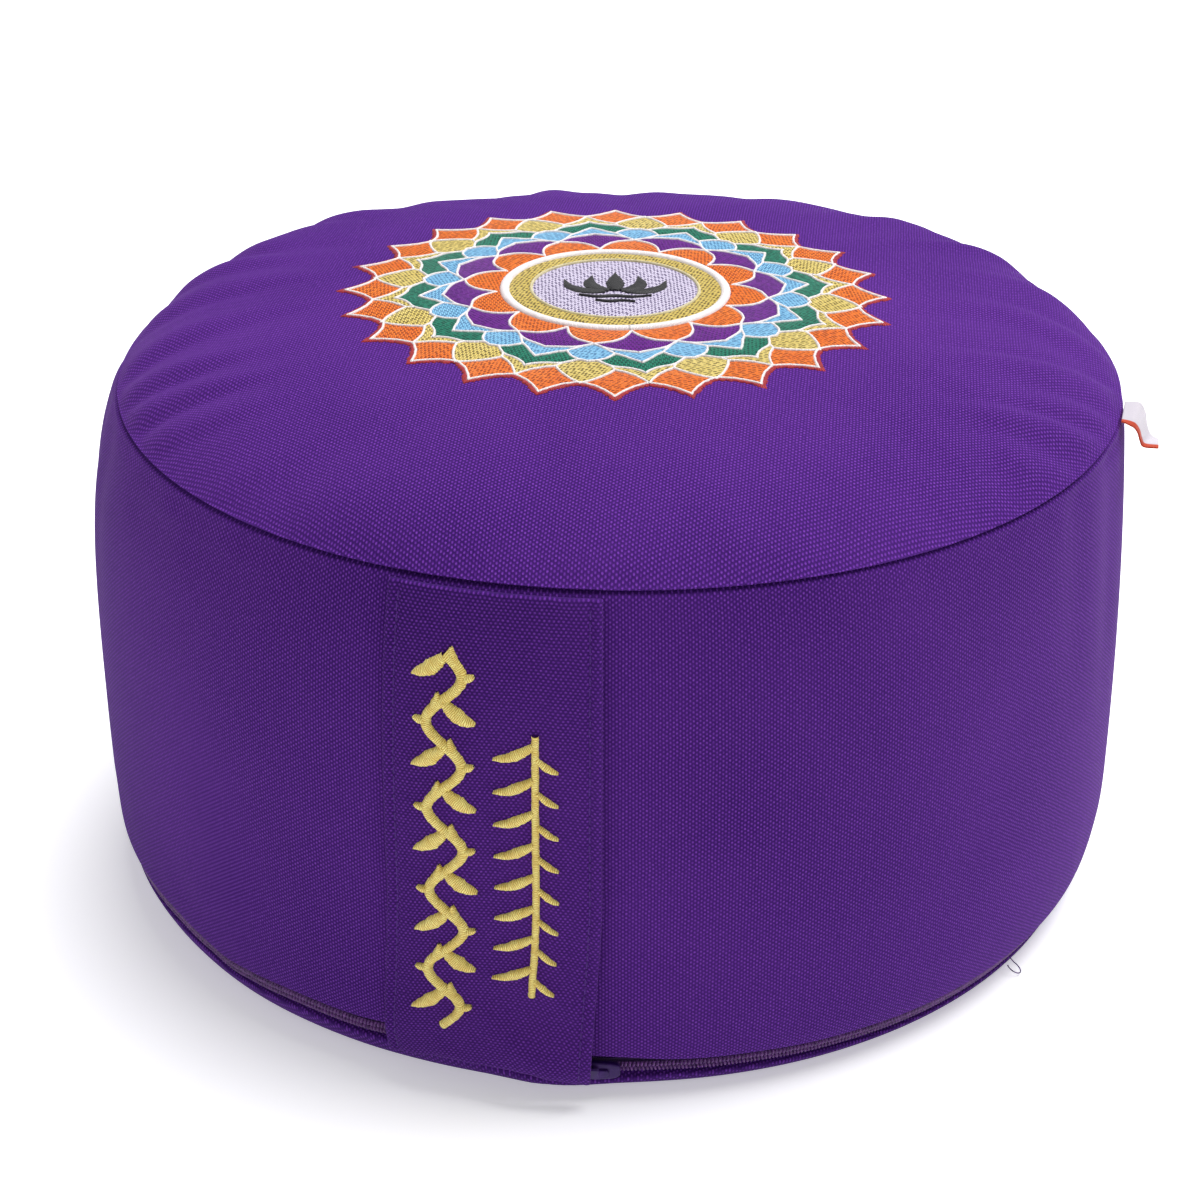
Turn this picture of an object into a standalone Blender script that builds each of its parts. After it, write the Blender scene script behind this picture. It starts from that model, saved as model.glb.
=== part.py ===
"""A round zafu meditation cushion: a filled canvas drum with a crowned top, a handle strap, a zip in its
base seam and a side label.

Metres, +Z up. The origin is the middle of the flat underside. The strap is at the front, towards -Y.
An azimuth is in degrees from the front and grows towards +X. Strips of cloth are grids laid over the
cover's shape and thickened by Solidify.
"""

import math

import bmesh
import bpy
from mathutils import Matrix, Vector

# The filled drum
WIDEST_RADIUS = 0.165
WIDEST_HEIGHT = 0.033
TOP_SEAM_RADIUS = 0.1567
TOP_SEAM_HEIGHT = 0.1615
BAND_POWER = 4.0  # how late the band turns in towards the top seam
BAND_POWER_SPREAD = 1.6  # later on the side that the seam leans away from
FOOT_POWER = 2.9  # and towards the base
BAND_FOOT_RADIUS = 0.1587
BAND_FOOT_HEIGHT = 0.0039
REST_RADIUS = 0.1545  # the flat disc that touches the floor
EDGE_HEIGHTS = (0.0034, 0.0011)  # of the base panel's rounded edge, between its lip and the disc
CROWN_RISE = 0.0138  # the soft dome of the top panel
CROWN_POWER = 2.4
SHOULDER_RISE = 0.0113  # the roll of the top panel down to its seam
SHOULDER_POWER = 12
SEAM_DEPTH = 0.0016
SEAM_EDGE = 0.0010  # the height of each panel's turned edge at the top seam
SEAM_SHIFT, SEAM_SHIFT_AZIMUTH = 0.0032, 101.5  # the filling leans the top seam over to this side
TOP_TILT = 0.0011  # and lifts its other side by this much
SLUMP_AZIMUTH, SLUMP_HALF_WIDTH = -168.5, 48  # the top's back is lower and drawn in
SLUMP_DROP, SLUMP_PULL = 0.0032, 0.0022
LEAN_START = 0.25 * TOP_SEAM_HEIGHT  # the lean, the tilt and the slump begin at this height
TURN_STEPS = 120
CROWN_STEPS, CROWN_SPREAD = 12, 1.9  # the crown's rings lie closer together towards its seam
BAND_STEPS = 14

# The base seam, which holds the zip. It climbs at the left, where the base panel bulges out
EVEN_SEAM_HEIGHT = 0.0120
SEAM_ROWS = (  # azimuth, height of the seam
    (-180, 0.0120), (-100, 0.0140), (-60, 0.0150), (-44, 0.0155), (-38, 0.0137), (-33.5, 0.0112),
    (-30, 0.0122), (-23, 0.0134), (-15, 0.0130), (-11, 0.0138), (-4, 0.0115), (5, 0.0100),
    (15, 0.0093), (24, 0.0082), (35, 0.0070), (48, 0.0062), (70, 0.0062), (100, 0.0100), (180, 0.0120),
)
CHANNEL_HALF_HEIGHT = 0.0033
CHANNEL_DEPTH = 0.0044
LIP_ROUND = 0.0011
LIP = CHANNEL_HALF_HEIGHT + LIP_ROUND  # from the seam to where the band's own curve begins
SEAM_REACH = 0.06  # how far up the band follows its seam
PLAIN_SEAM_DEPTH = 0.0014  # where there is no zip, the two panels meet in a shallow seam
PLAIN_SEAM_SHARE = 0.3
ZIP_START, ZIP_END = -94, 72
CHANNEL_PAST_ZIP = 4  # degrees that the channel runs on at both ends
CHANNEL_FADE = 4
GAPE_AZIMUTH, GAPE_HALF_WIDTH = 9.5, 6.0  # the slider and its pull hold the channel wide open here
GAPE_SHARE = 0.45

# Ripples of the top panel, as soft ridges that run in from its seam
RIPPLE_ROWS = (  # azimuth at the seam, turn by the inner end, half width, radius of the inner end, height
    (-86, -6, 3.6, 0.080, 0.0009),
    (-73, -2, 3.4, 0.098, 0.0011),
    (-65, 7, 2.9, 0.104, 0.0012),
    (-58, 9, 2.9, 0.106, 0.0014),
    (-51, 10, 3.2, 0.112, 0.0008),
    (66, -6, 3.4, 0.126, 0.0009),
    (76, -14, 3.1, 0.110, 0.0014),
    (82, -9, 2.9, 0.122, 0.0010),
    (90, -13, 3.2, 0.094, 0.0012),
    (99, 5, 3.6, 0.096, 0.0010),
    (112, 5, 4.0, 0.108, 0.0010),
    (127, 3, 3.8, 0.112, 0.0013),
    (146, -3, 4.4, 0.108, 0.0009),
    (163, 2, 4.0, 0.114, 0.0011),
    (-177, 4, 4.2, 0.110, 0.0009),
    (-158, -4, 4.0, 0.112, 0.0012),
    (-141, 3, 4.2, 0.108, 0.0010),
    (-124, -4, 3.8, 0.112, 0.0013),
    (-109, 3, 3.8, 0.104, 0.0010),
    (-97, -4, 3.6, 0.100, 0.0010),
)
RIPPLE_REACH = 0.7  # a ripple rises to its full height over this share of its length
RIPPLE_SEAM_LOSS, RIPPLE_SEAM_WIDTH = 0.6, 0.008  # and the seam flattens it again

# Soft upright folds of the band below its top seam
PLEAT_ROWS = (  # azimuth, half width, height of the lower end, depth
    (-62, 3.4, 0.122, 0.0008),
    (-71, 3.2, 0.116, 0.0009),
    (-83, 3.6, 0.124, 0.0009),
    (-103, 3.8, 0.118, 0.0008),
    (-131, 4.2, 0.122, 0.0009),
    (-166, 4.4, 0.120, 0.0007),
    (148, 4.4, 0.118, 0.0009),
    (121, 4.0, 0.122, 0.0008),
    (98, 3.6, 0.112, 0.0010),
    (79, 3.4, 0.096, 0.0010),
    (68, 3.2, 0.118, 0.0007),
)
PLEAT_BELOW, PLEAT_ABOVE = 0.045, 0.020  # a fold deepens from and to these distances round its lower end
PLEAT_SEAM_WIDTH = 0.006  # and the seam closes it again

# The handle strap
STRAP_WIDTH = 0.061
STRAP_THICKNESS = 0.0022
STRAP_TOP = TOP_SEAM_HEIGHT - 0.0008
STRAP_REST_GAP = 0.0006
STRAP_EDGE_GAP = 0.0010  # how far the free right edge stands off along its whole length
STRAP_EDGE_SHARE = 0.16
STRAP_PULL_BULGE = 0.0036  # the zip's pull lies under its lower right corner
STRAP_PULL_START, STRAP_PULL_FULL = 0.25, 0.7  # shares of the width
STRAP_PULL_HEIGHT, STRAP_PULL_SPREAD = 0.0125, 0.013
STRAP_TOP_FADE = 0.03  # the free edge lies down over this distance to the top seam
STRAP_STEPS_ACROSS, STRAP_STEPS_ALONG = 10, 28
STRAP_FOOT_ROWS = (  # share of the width from the left, height of the lower edge
    (0.0, 0.0045), (0.25, 0.0056), (0.5, 0.0082), (0.62, 0.0086), (0.8, 0.0064), (1.0, 0.0042),
)
STRAP_SLANT_ROWS = ((0.0, -1.0), (0.075, 0.25), (0.16, 0.3))  # height, azimuth of its middle
STRAP_HUG_HEIGHT = 0.010  # below this it lies back against the base seam

# The zip
TAPE_WIDTH = 0.0058
TAPE_THICKNESS = 0.0010
TAPE_INSET = 0.0036  # of its middle, below the cover's face
COIL_WIDTH = 0.0046
COIL_THICKNESS = 0.0015
COIL_INSET = 0.0019
ZIP_STEPS = 76
SLIDER_AZIMUTH = 11.3
SLIDER_SIZE = Vector((0.0108, 0.0070, 0.0019))  # along the zip, across it, and out of the face
SLIDER_OUT = 0.0001  # of its middle, over the cover's face
PULL_SIZE = Vector((0.0150, 0.0044, 0.0010))
PULL_OUT = 0.0019
PULL_AZIMUTH = SLIDER_AZIMUTH - 3.5
CLEARANCE = 0.0003

# The side label, an S-bent ribbon caught in the top seam
LABEL_NEAR_AZIMUTH, LABEL_FAR_AZIMUTH = 84.9, 90.6
LABEL_THICKNESS = 0.0010
LABEL_NEAR_EDGE = (  # out from the seam, up
    (0.0, 0.0), (0.0034, -0.0002), (0.0052, -0.0020), (0.0062, -0.0046), (0.0074, -0.0063), (0.0118, -0.0062),
)
LABEL_FAR_EDGE = (
    (0.0, 0.0), (0.0043, 0.0), (0.0062, -0.0026), (0.0073, -0.0072), (0.0088, -0.0104), (0.0112, -0.0117),
)
LABEL_SEAM_RISE = 0.0010  # it leaves the seam over the top panel's edge
LABEL_STEPS_ACROSS, LABEL_STEPS_ALONG = 6, 15


def smooth(low, high, value):
    """0 at low, 1 at high and an even S between them."""
    share = min(max((value - low) / (high - low), 0), 1)
    return share * share * (3 - 2 * share)


def from_rows(rows, value):
    """The second column of rows at this value of the first, eased between rows."""
    for (low, start), (high, end) in zip(rows, rows[1:]):
        if value <= high:
            return start + (end - start) * smooth(low, high, value)
    return rows[-1][1]


def turn_between(azimuth, other):
    """How far azimuth lies past other, from -180 to 180."""
    return (azimuth - other + 180) % 360 - 180


def seam_shift(azimuth):
    """How far the top seam lies out of its even ring."""
    return SEAM_SHIFT * math.cos(math.radians(azimuth - SEAM_SHIFT_AZIMUTH))


def band_radius(height, azimuth=None):
    """The cover's side: widest low down, drawn in at both seams. Without an azimuth, its even form."""
    if height > WIDEST_HEIGHT:
        shift = 0 if azimuth is None else seam_shift(azimuth)
        power = BAND_POWER - BAND_POWER_SPREAD * shift / SEAM_SHIFT
        share = (height - WIDEST_HEIGHT) / (TOP_SEAM_HEIGHT - WIDEST_HEIGHT)
        return WIDEST_RADIUS - (WIDEST_RADIUS - TOP_SEAM_RADIUS - shift) * share**power
    share = (WIDEST_HEIGHT - height) / (WIDEST_HEIGHT - BAND_FOOT_HEIGHT)
    return WIDEST_RADIUS - (WIDEST_RADIUS - BAND_FOOT_RADIUS) * share**FOOT_POWER


def crown_height(share):
    """The top panel at this share of its seam's radius."""
    dome = CROWN_RISE * (1 - share**CROWN_POWER)
    return TOP_SEAM_HEIGHT + dome + SHOULDER_RISE * (1 - share**SHOULDER_POWER)


def ripples(azimuth, radius):
    """How far the top panel stands proud of its even crown."""
    total = 0
    for seam_azimuth, turn, half_width, inner_radius, height in RIPPLE_ROWS:
        inward = (TOP_SEAM_RADIUS - radius) / (TOP_SEAM_RADIUS - inner_radius)
        offset = turn_between(azimuth, seam_azimuth + turn * inward) / half_width
        full = inner_radius + RIPPLE_REACH * (TOP_SEAM_RADIUS - inner_radius)
        reach = smooth(inner_radius, full, radius)
        total += height * reach * math.exp(-offset * offset)
    near_seam = smooth(TOP_SEAM_RADIUS - RIPPLE_SEAM_WIDTH, TOP_SEAM_RADIUS, radius)
    return total * (1 - RIPPLE_SEAM_LOSS * near_seam)


def pleats(azimuth, height):
    """How far the band's soft folds sink below its even side."""
    total = 0
    for middle, half_width, low_end, depth in PLEAT_ROWS:
        offset = turn_between(azimuth, middle) / half_width
        reach = smooth(low_end - PLEAT_BELOW, low_end + PLEAT_ABOVE, height)
        total += depth * reach * math.exp(-offset * offset)
    return total * (1 - smooth(TOP_SEAM_HEIGHT - PLEAT_SEAM_WIDTH, TOP_SEAM_HEIGHT, height))


def base_seam_height(azimuth):
    return from_rows(SEAM_ROWS, turn_between(azimuth, 0))


def zip_share(azimuth):
    """1 where the zip's channel is open, 0 along the plain seam."""
    from_middle = abs(turn_between(azimuth, (ZIP_START + ZIP_END) / 2))
    past_channel = from_middle - (ZIP_END - ZIP_START) / 2 - CHANNEL_PAST_ZIP
    return 1 - smooth(0, CHANNEL_FADE, past_channel)


def gape(azimuth):
    """How much wider than usual the channel is, as a factor."""
    offset = turn_between(azimuth, GAPE_AZIMUTH) / GAPE_HALF_WIDTH
    return 1 + GAPE_SHARE * math.exp(-(offset**4))


def lean(point):
    """The settled filling's tilt and the slump of its back, none at the base and whole at the top seam."""
    radius = math.hypot(point.x, point.y)
    azimuth = math.degrees(math.atan2(point.x, -point.y))
    offset = turn_between(azimuth, SLUMP_AZIMUTH) / SLUMP_HALF_WIDTH
    slump = math.exp(-offset * offset) * (radius / WIDEST_RADIUS) ** 2
    share = smooth(LEAN_START, TOP_SEAM_HEIGHT, point.z)
    pull = 1 - share * slump * SLUMP_PULL / WIDEST_RADIUS
    drop = share * (TOP_TILT * point.x / WIDEST_RADIUS + SLUMP_DROP * slump)
    return Vector((point.x * pull, point.y * pull, point.z - drop))


def on_cover(azimuth, height, out):
    """The point that stands this far out of the cover's side."""
    radius = band_radius(height, azimuth) - pleats(azimuth, height) + out
    angle = math.radians(azimuth)
    return lean(Vector((radius * math.sin(angle), -radius * math.cos(angle), height)))


def cover_profile():
    """Radius and height from the crown's middle over both seams to the middle of the base."""
    shares = [1 - (1 - step / CROWN_STEPS) ** CROWN_SPREAD for step in range(CROWN_STEPS)]
    crown = [(TOP_SEAM_RADIUS * share, crown_height(share)) for share in shares]
    seam = [
        (TOP_SEAM_RADIUS - 0.0002, TOP_SEAM_HEIGHT + 0.8 * SEAM_EDGE),
        (TOP_SEAM_RADIUS - SEAM_DEPTH, TOP_SEAM_HEIGHT - 0.2 * SEAM_EDGE),
    ]
    high = TOP_SEAM_HEIGHT - 1.2 * SEAM_EDGE
    low = EVEN_SEAM_HEIGHT + LIP
    spread = [0.5 - 0.5 * math.cos(math.pi * step / BAND_STEPS) for step in range(BAND_STEPS + 1)]
    band = [(band_radius(high + (low - high) * share), high + (low - high) * share) for share in spread]
    return crown + seam + band


def channel_profile():
    """Inset and height over the base seam, down through the zip's channel and round the base panel's edge."""
    half = CHANNEL_HALF_HEIGHT
    return [
        (LIP_ROUND * 0.7, half + LIP_ROUND * 0.3),
        (CHANNEL_DEPTH, half),
        (CHANNEL_DEPTH, -half),
        (LIP_ROUND * 0.7, -half - LIP_ROUND * 0.3),
        (0, -LIP),
    ]


def settled(turned):
    """Moves a point of the even turned form to its place on the filled, settled cushion."""
    radius = math.hypot(turned.x, turned.y)
    if radius < 1e-6 or turned.z < 1e-6:
        return lean(turned)
    azimuth = math.degrees(math.atan2(turned.x, -turned.y))
    around = Vector((turned.x, turned.y, 0)) / radius
    height = turned.z
    if height > TOP_SEAM_HEIGHT - SEAM_EDGE:
        moved = radius * (1 + seam_shift(azimuth) / TOP_SEAM_RADIUS)
        rise = ripples(azimuth, radius) if height > TOP_SEAM_HEIGHT else 0
        return lean(around * moved + Vector((0, 0, height + rise)))
    inset = band_radius(height) - radius
    above_seam = height - EVEN_SEAM_HEIGHT
    share = zip_share(azimuth)
    if inset > 1e-6:
        depth = PLAIN_SEAM_DEPTH + (CHANNEL_DEPTH - PLAIN_SEAM_DEPTH) * share
        inset *= depth / CHANNEL_DEPTH
    width = (PLAIN_SEAM_SHARE + (1 - PLAIN_SEAM_SHARE) * share) * gape(azimuth)
    if abs(above_seam) < LIP + 0.0001:
        height = base_seam_height(azimuth) + above_seam * width
    elif above_seam < 0:
        height *= (base_seam_height(azimuth) - LIP * width) / (EVEN_SEAM_HEIGHT - LIP)
    else:
        rise = base_seam_height(azimuth) - EVEN_SEAM_HEIGHT + LIP * (width - 1)
        height += rise * (1 - smooth(LIP, SEAM_REACH, above_seam))
    out = band_radius(height, azimuth) - inset - pleats(azimuth, height)
    return lean(around * out + Vector((0, 0, height)))


def finish(name, colour, roughness, metallic=0.0):
    """A plain finish in linear colour."""
    material = bpy.data.materials.new(name)
    material.use_nodes = True
    shader = material.node_tree.nodes["Principled BSDF"]
    shader.inputs["Base Color"].default_value = (*colour, 1)
    shader.inputs["Roughness"].default_value = roughness
    shader.inputs["Metallic"].default_value = metallic
    return material


def add_object(name, mesh, material, collection):
    piece = bpy.data.objects.new(name, mesh)
    piece.data.materials.append(material)
    collection.objects.link(piece)
    return piece


def turned_mesh(name, profile, steps):
    """The mesh that a Screw modifier turns from this profile, top to bottom on its outer side."""
    outline = bpy.data.meshes.new(name)
    outline.from_pydata([(radius, 0, height) for radius, height in profile],
                        [(index, index + 1) for index in range(len(profile) - 1)], [])
    guide = bpy.data.objects.new(name, outline)
    bpy.context.scene.collection.objects.link(guide)
    screw = guide.modifiers.new("turn", "SCREW")
    screw.steps = screw.render_steps = steps
    screw.use_merge_vertices = True
    screw.merge_threshold = 0.00001
    graph = bpy.context.evaluated_depsgraph_get()
    mesh = bpy.data.meshes.new_from_object(guide.evaluated_get(graph))
    bpy.data.objects.remove(guide)
    bpy.data.meshes.remove(outline)
    return mesh


def cloth_strip(name, steps, place, thickness, material, collection):
    """A grid of steps across and along, laid by place(across, along), both 0 to 1, and thickened."""
    strip = bmesh.new()
    bmesh.ops.create_grid(strip, x_segments=steps[0], y_segments=steps[1], size=0.5)
    for vertex in strip.verts:
        vertex.co = place(vertex.co.x + 0.5, vertex.co.y + 0.5)
    mesh = bpy.data.meshes.new(name)
    strip.to_mesh(mesh)
    strip.free()
    mesh.shade_smooth()
    piece = add_object(name, mesh, material, collection)
    solidify = piece.modifiers.new("thickness", "SOLIDIFY")
    solidify.thickness = thickness
    solidify.offset = 0
    return piece


def face_frame(azimuth, height, out):
    """Axes along the zip, up the face and out of it, with their origin on the cover."""
    here = on_cover(azimuth, height, out)
    along = (on_cover(azimuth + 1, height, out) - on_cover(azimuth - 1, height, out)).normalized()
    up = (on_cover(azimuth, height + 0.002, out) - on_cover(azimuth, height - 0.002, out)).normalized()
    outward = along.cross(up)
    return Matrix((along, up, outward)).transposed().to_4x4(), here


def rounded_block(name, size, azimuth, height, out, material, collection):
    """A bevelled block that lies on the cover's face."""
    block = bmesh.new()
    bmesh.ops.create_cube(block, size=1)
    bmesh.ops.scale(block, vec=size, verts=block.verts)
    mesh = bpy.data.meshes.new(name)
    block.to_mesh(mesh)
    block.free()
    piece = add_object(name, mesh, material, collection)
    turn, here = face_frame(azimuth, height, out)
    piece.matrix_world = Matrix.Translation(here) @ turn
    bevel = piece.modifiers.new("rounding", "BEVEL")
    bevel.width = 0.3 * min(size)
    bevel.segments = 2
    return piece


def make_cushion(canvas, collection):
    """The filled cover: crown, top seam, band, zip channel, base panel's edge and flat base."""
    below = [
        (band_radius(EVEN_SEAM_HEIGHT + rise) - inset, EVEN_SEAM_HEIGHT + rise)
        for inset, rise in channel_profile()
    ]
    edge = [(band_radius(height), height) for height in EDGE_HEIGHTS]
    base = [(REST_RADIUS, 0), (REST_RADIUS / 2, 0), (0, 0)]
    mesh = turned_mesh("cushion", cover_profile() + below + edge + base, TURN_STEPS)
    for vertex in mesh.vertices:
        vertex.co = settled(vertex.co)
    mesh.shade_smooth()
    return add_object("cushion", mesh, canvas, collection)


def strap_point(across, along):
    """The strap's middle layer, from its top end in the top seam to its hanging lower edge."""
    foot = from_rows(STRAP_FOOT_ROWS, across)
    height = STRAP_TOP + (foot - STRAP_TOP) * along
    azimuth = from_rows(STRAP_SLANT_ROWS, height) + math.degrees((across - 0.5) * STRAP_WIDTH / WIDEST_RADIUS)
    hanging = 1 - smooth(TOP_SEAM_HEIGHT - STRAP_TOP_FADE, TOP_SEAM_HEIGHT, height)
    lift = STRAP_EDGE_GAP * smooth(1 - STRAP_EDGE_SHARE, 1, across) * hanging
    from_pull = (height - STRAP_PULL_HEIGHT) / STRAP_PULL_SPREAD
    over_pull = smooth(STRAP_PULL_START, STRAP_PULL_FULL, across)
    lift += STRAP_PULL_BULGE * over_pull * math.exp(-from_pull * from_pull)
    lift *= smooth(0, STRAP_HUG_HEIGHT, height)
    return on_cover(azimuth, height, STRAP_REST_GAP + STRAP_THICKNESS / 2 + lift)


def make_strap(canvas, collection):
    steps = (STRAP_STEPS_ACROSS, STRAP_STEPS_ALONG)
    cloth_strip("handle_strap", steps, strap_point, STRAP_THICKNESS, canvas, collection)


def make_zip(tape, coil, enamel, collection):
    """The tape and the closed coil in their channel, and the slider with its pull."""
    def zip_strip(width, inset, first, last):
        def place(across, along):
            azimuth = first + (last - first) * along
            return on_cover(azimuth, base_seam_height(azimuth) + (across - 0.5) * width, -inset)
        return place

    tape_place = zip_strip(TAPE_WIDTH, TAPE_INSET, ZIP_START, ZIP_END)
    coil_place = zip_strip(COIL_WIDTH, COIL_INSET, ZIP_START + 1, ZIP_END - 1)
    cloth_strip("zip_tape", (2, ZIP_STEPS), tape_place, TAPE_THICKNESS, tape, collection)
    cloth_strip("zip_coil", (4, ZIP_STEPS), coil_place, COIL_THICKNESS, coil, collection)

    slider_height = base_seam_height(SLIDER_AZIMUTH)
    rounded_block("zip_slider", SLIDER_SIZE, SLIDER_AZIMUTH, slider_height, SLIDER_OUT, enamel, collection)
    pull_height = base_seam_height(PULL_AZIMUTH)
    rounded_block("zip_pull", PULL_SIZE, PULL_AZIMUTH, pull_height, PULL_OUT, enamel, collection)


def label_edge(azimuth, edge, along):
    """A point of one side edge of the label, this share of the way from the seam to its end."""
    place = along * (len(edge) - 1)
    index = min(int(place), len(edge) - 2)
    out, up = Vector(edge[index]).lerp(Vector(edge[index + 1]), place - index)
    root = on_cover(azimuth, TOP_SEAM_HEIGHT, CLEARANCE)
    angle = math.radians(azimuth)
    return root + Vector((out * math.sin(angle), -out * math.cos(angle), up + LABEL_SEAM_RISE))


def make_label(ribbon, collection):
    def place(across, along):
        near = label_edge(LABEL_NEAR_AZIMUTH, LABEL_NEAR_EDGE, along)
        far = label_edge(LABEL_FAR_AZIMUTH, LABEL_FAR_EDGE, along)
        return near.lerp(far, across)

    steps = (LABEL_STEPS_ACROSS, LABEL_STEPS_ALONG)
    cloth_strip("label", steps, place, LABEL_THICKNESS, ribbon, collection)


def main():
    for leftover in list(bpy.data.objects):
        bpy.data.objects.remove(leftover)
    collection = bpy.data.collections.new("zafu_cushion")
    bpy.context.scene.collection.children.link(collection)
    canvas = finish("purple_canvas", (0.088, 0.018, 0.262), 0.9)
    make_cushion(canvas, collection)
    make_strap(finish("purple_strap_canvas", (0.080, 0.016, 0.240), 0.88), collection)
    tape = finish("purple_zip_tape", (0.060, 0.012, 0.160), 0.8)
    coil = finish("purple_coil", (0.085, 0.025, 0.180), 0.45)
    make_zip(tape, coil, finish("purple_enamel", (0.100, 0.035, 0.200), 0.35, 0.2), collection)
    make_label(finish("white_ribbon", (0.82, 0.80, 0.82), 0.5), collection)


main()
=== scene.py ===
"""The looks of a round zafu meditation cushion: its sewn and filled canvas cover, the lotus rosette
embroidered on its crown, the handle strap, the zip in its base seam and the side label.

Metres, +Z up, in the CAD's own frame. An azimuth is in degrees from the front (-Y) and grows towards +X.
Points are numpy arrays whose last axis is x, y, z.
"""

import math

import bmesh
import bpy
import numpy as np
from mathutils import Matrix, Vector
from mathutils.bvhtree import BVHTree


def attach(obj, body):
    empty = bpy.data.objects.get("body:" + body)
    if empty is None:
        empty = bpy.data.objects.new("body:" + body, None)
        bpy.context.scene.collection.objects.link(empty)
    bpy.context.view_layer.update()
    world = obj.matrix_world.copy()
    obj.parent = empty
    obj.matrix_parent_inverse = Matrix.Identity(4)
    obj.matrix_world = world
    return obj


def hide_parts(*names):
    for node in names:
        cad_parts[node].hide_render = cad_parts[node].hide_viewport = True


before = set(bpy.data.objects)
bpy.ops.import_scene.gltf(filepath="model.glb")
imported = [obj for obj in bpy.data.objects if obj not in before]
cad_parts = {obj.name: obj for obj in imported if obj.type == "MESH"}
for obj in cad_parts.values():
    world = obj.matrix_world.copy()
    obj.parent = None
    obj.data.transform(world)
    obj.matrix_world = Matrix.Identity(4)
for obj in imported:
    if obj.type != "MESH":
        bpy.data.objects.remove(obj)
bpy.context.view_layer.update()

# The photograph's view
PHOTO_WIDTH = 1200
FOCAL_PIXELS = 2574.4
SENSOR_WIDTH = 36  # millimetres
VIEW_AZIMUTH, VIEW_ELEVATION = 11.5, 27.58
VIEW_DISTANCE = 0.8512
AIM_HEIGHT = 0.0773
AXIS_PIXEL = 609.5  # the photograph's column where the cushion's axis stands

# The filled drum, as the solid has it
WIDEST_RADIUS, WIDEST_HEIGHT = 0.165, 0.033
TOP_SEAM_RADIUS, TOP_SEAM_HEIGHT = 0.1567, 0.1615
BAND_POWER, BAND_POWER_SPREAD, FOOT_POWER = 4.0, 1.6, 2.9
BAND_FOOT_RADIUS, BAND_FOOT_HEIGHT = 0.1587, 0.0039
REST_RADIUS = 0.1545
EDGE_HEIGHTS = (0.0034, 0.0011)
CROWN_RISE, CROWN_POWER = 0.0138, 2.4
SHOULDER_RISE, SHOULDER_POWER = 0.0113, 12
SEAM_DEPTH, SEAM_EDGE = 0.0016, 0.0010
SEAM_SHIFT, SEAM_SHIFT_AZIMUTH = 0.0032, 101.5
TOP_TILT = 0.0011
SLUMP_AZIMUTH, SLUMP_HALF_WIDTH = -168.5, 48
SLUMP_DROP, SLUMP_PULL = 0.0032, 0.0022
LEAN_START = 0.25 * TOP_SEAM_HEIGHT

# The base seam with its zip channel, as the solid has it
EVEN_SEAM_HEIGHT = 0.0120
SEAM_ROWS = (  # azimuth, height of the seam
    (-180, 0.0120), (-100, 0.0140), (-60, 0.0150), (-44, 0.0155), (-38, 0.0137), (-33.5, 0.0112),
    (-30, 0.0122), (-23, 0.0134), (-15, 0.0130), (-11, 0.0138), (-4, 0.0115), (5, 0.0100),
    (15, 0.0093), (24, 0.0082), (35, 0.0070), (48, 0.0062), (70, 0.0062), (100, 0.0100), (180, 0.0120),
)
CHANNEL_HALF_HEIGHT, CHANNEL_DEPTH, LIP_ROUND = 0.0033, 0.0044, 0.0011
LIP = CHANNEL_HALF_HEIGHT + LIP_ROUND
SEAM_REACH = 0.06
PLAIN_SEAM_DEPTH, PLAIN_SEAM_SHARE = 0.0014, 0.3
ZIP_START, ZIP_END = -94, 72
CHANNEL_PAST_ZIP, CHANNEL_FADE = 4, 4
GAPE_AZIMUTH, GAPE_HALF_WIDTH, GAPE_SHARE = 9.5, 6.0, 0.45

# Ripples of the top panel, as the solid has them: azimuth at the seam, turn by the inner end, half width,
# radius of the inner end, height
RIPPLE_ROWS = (
    (-86, -6, 3.6, 0.080, 0.0009),
    (-73, -2, 3.4, 0.098, 0.0011),
    (-65, 7, 2.9, 0.104, 0.0012),
    (-58, 9, 2.9, 0.106, 0.0014),
    (-51, 10, 3.2, 0.112, 0.0008),
    (66, -6, 3.4, 0.126, 0.0009),
    (76, -14, 3.1, 0.110, 0.0014),
    (82, -9, 2.9, 0.122, 0.0010),
    (90, -13, 3.2, 0.094, 0.0012),
    (99, 5, 3.6, 0.096, 0.0010),
    (112, 5, 4.0, 0.108, 0.0010),
    (127, 3, 3.8, 0.112, 0.0013),
    (146, -3, 4.4, 0.108, 0.0009),
    (163, 2, 4.0, 0.114, 0.0011),
    (-177, 4, 4.2, 0.110, 0.0009),
    (-158, -4, 4.0, 0.112, 0.0012),
    (-141, 3, 4.2, 0.108, 0.0010),
    (-124, -4, 3.8, 0.112, 0.0013),
    (-109, 3, 3.8, 0.104, 0.0010),
    (-97, -4, 3.6, 0.100, 0.0010),
)
RIPPLE_REACH = 0.7  # a ripple rises to its full height over this share of its length
RIPPLE_GAIN = 1.4  # and stands this many times as high as the solid's
RIPPLE_SEAM_LOSS, RIPPLE_SEAM_WIDTH = 0.6, 0.008  # and the seam flattens it again
PINCH_SHARE, PINCH_OFFSET, PINCH_WIDTH = 0.55, 1.15, 0.544  # the sharp valley beside each ripple

# How the photograph's crown differs from the even dome: its middle has settled flatter
SETTLE_RADIUS, SETTLE_FADE = 0.0857, (0.085, 0.150)
SETTLE_DROP, SETTLE_RISE = 0.0022, 0.00105  # at the middle, and back up again by the rosette's edge
SETTLE_SLOPE = (-0.00037, -0.00053)  # towards +X and +Y, over the same radius
SHOULDER_BUMPS = (  # azimuth, half width, radius, half depth, rise
    (-112, 24, 0.138, 0.020, 0.0026),
    (135, 24, 0.138, 0.020, 0.0028),
)

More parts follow.
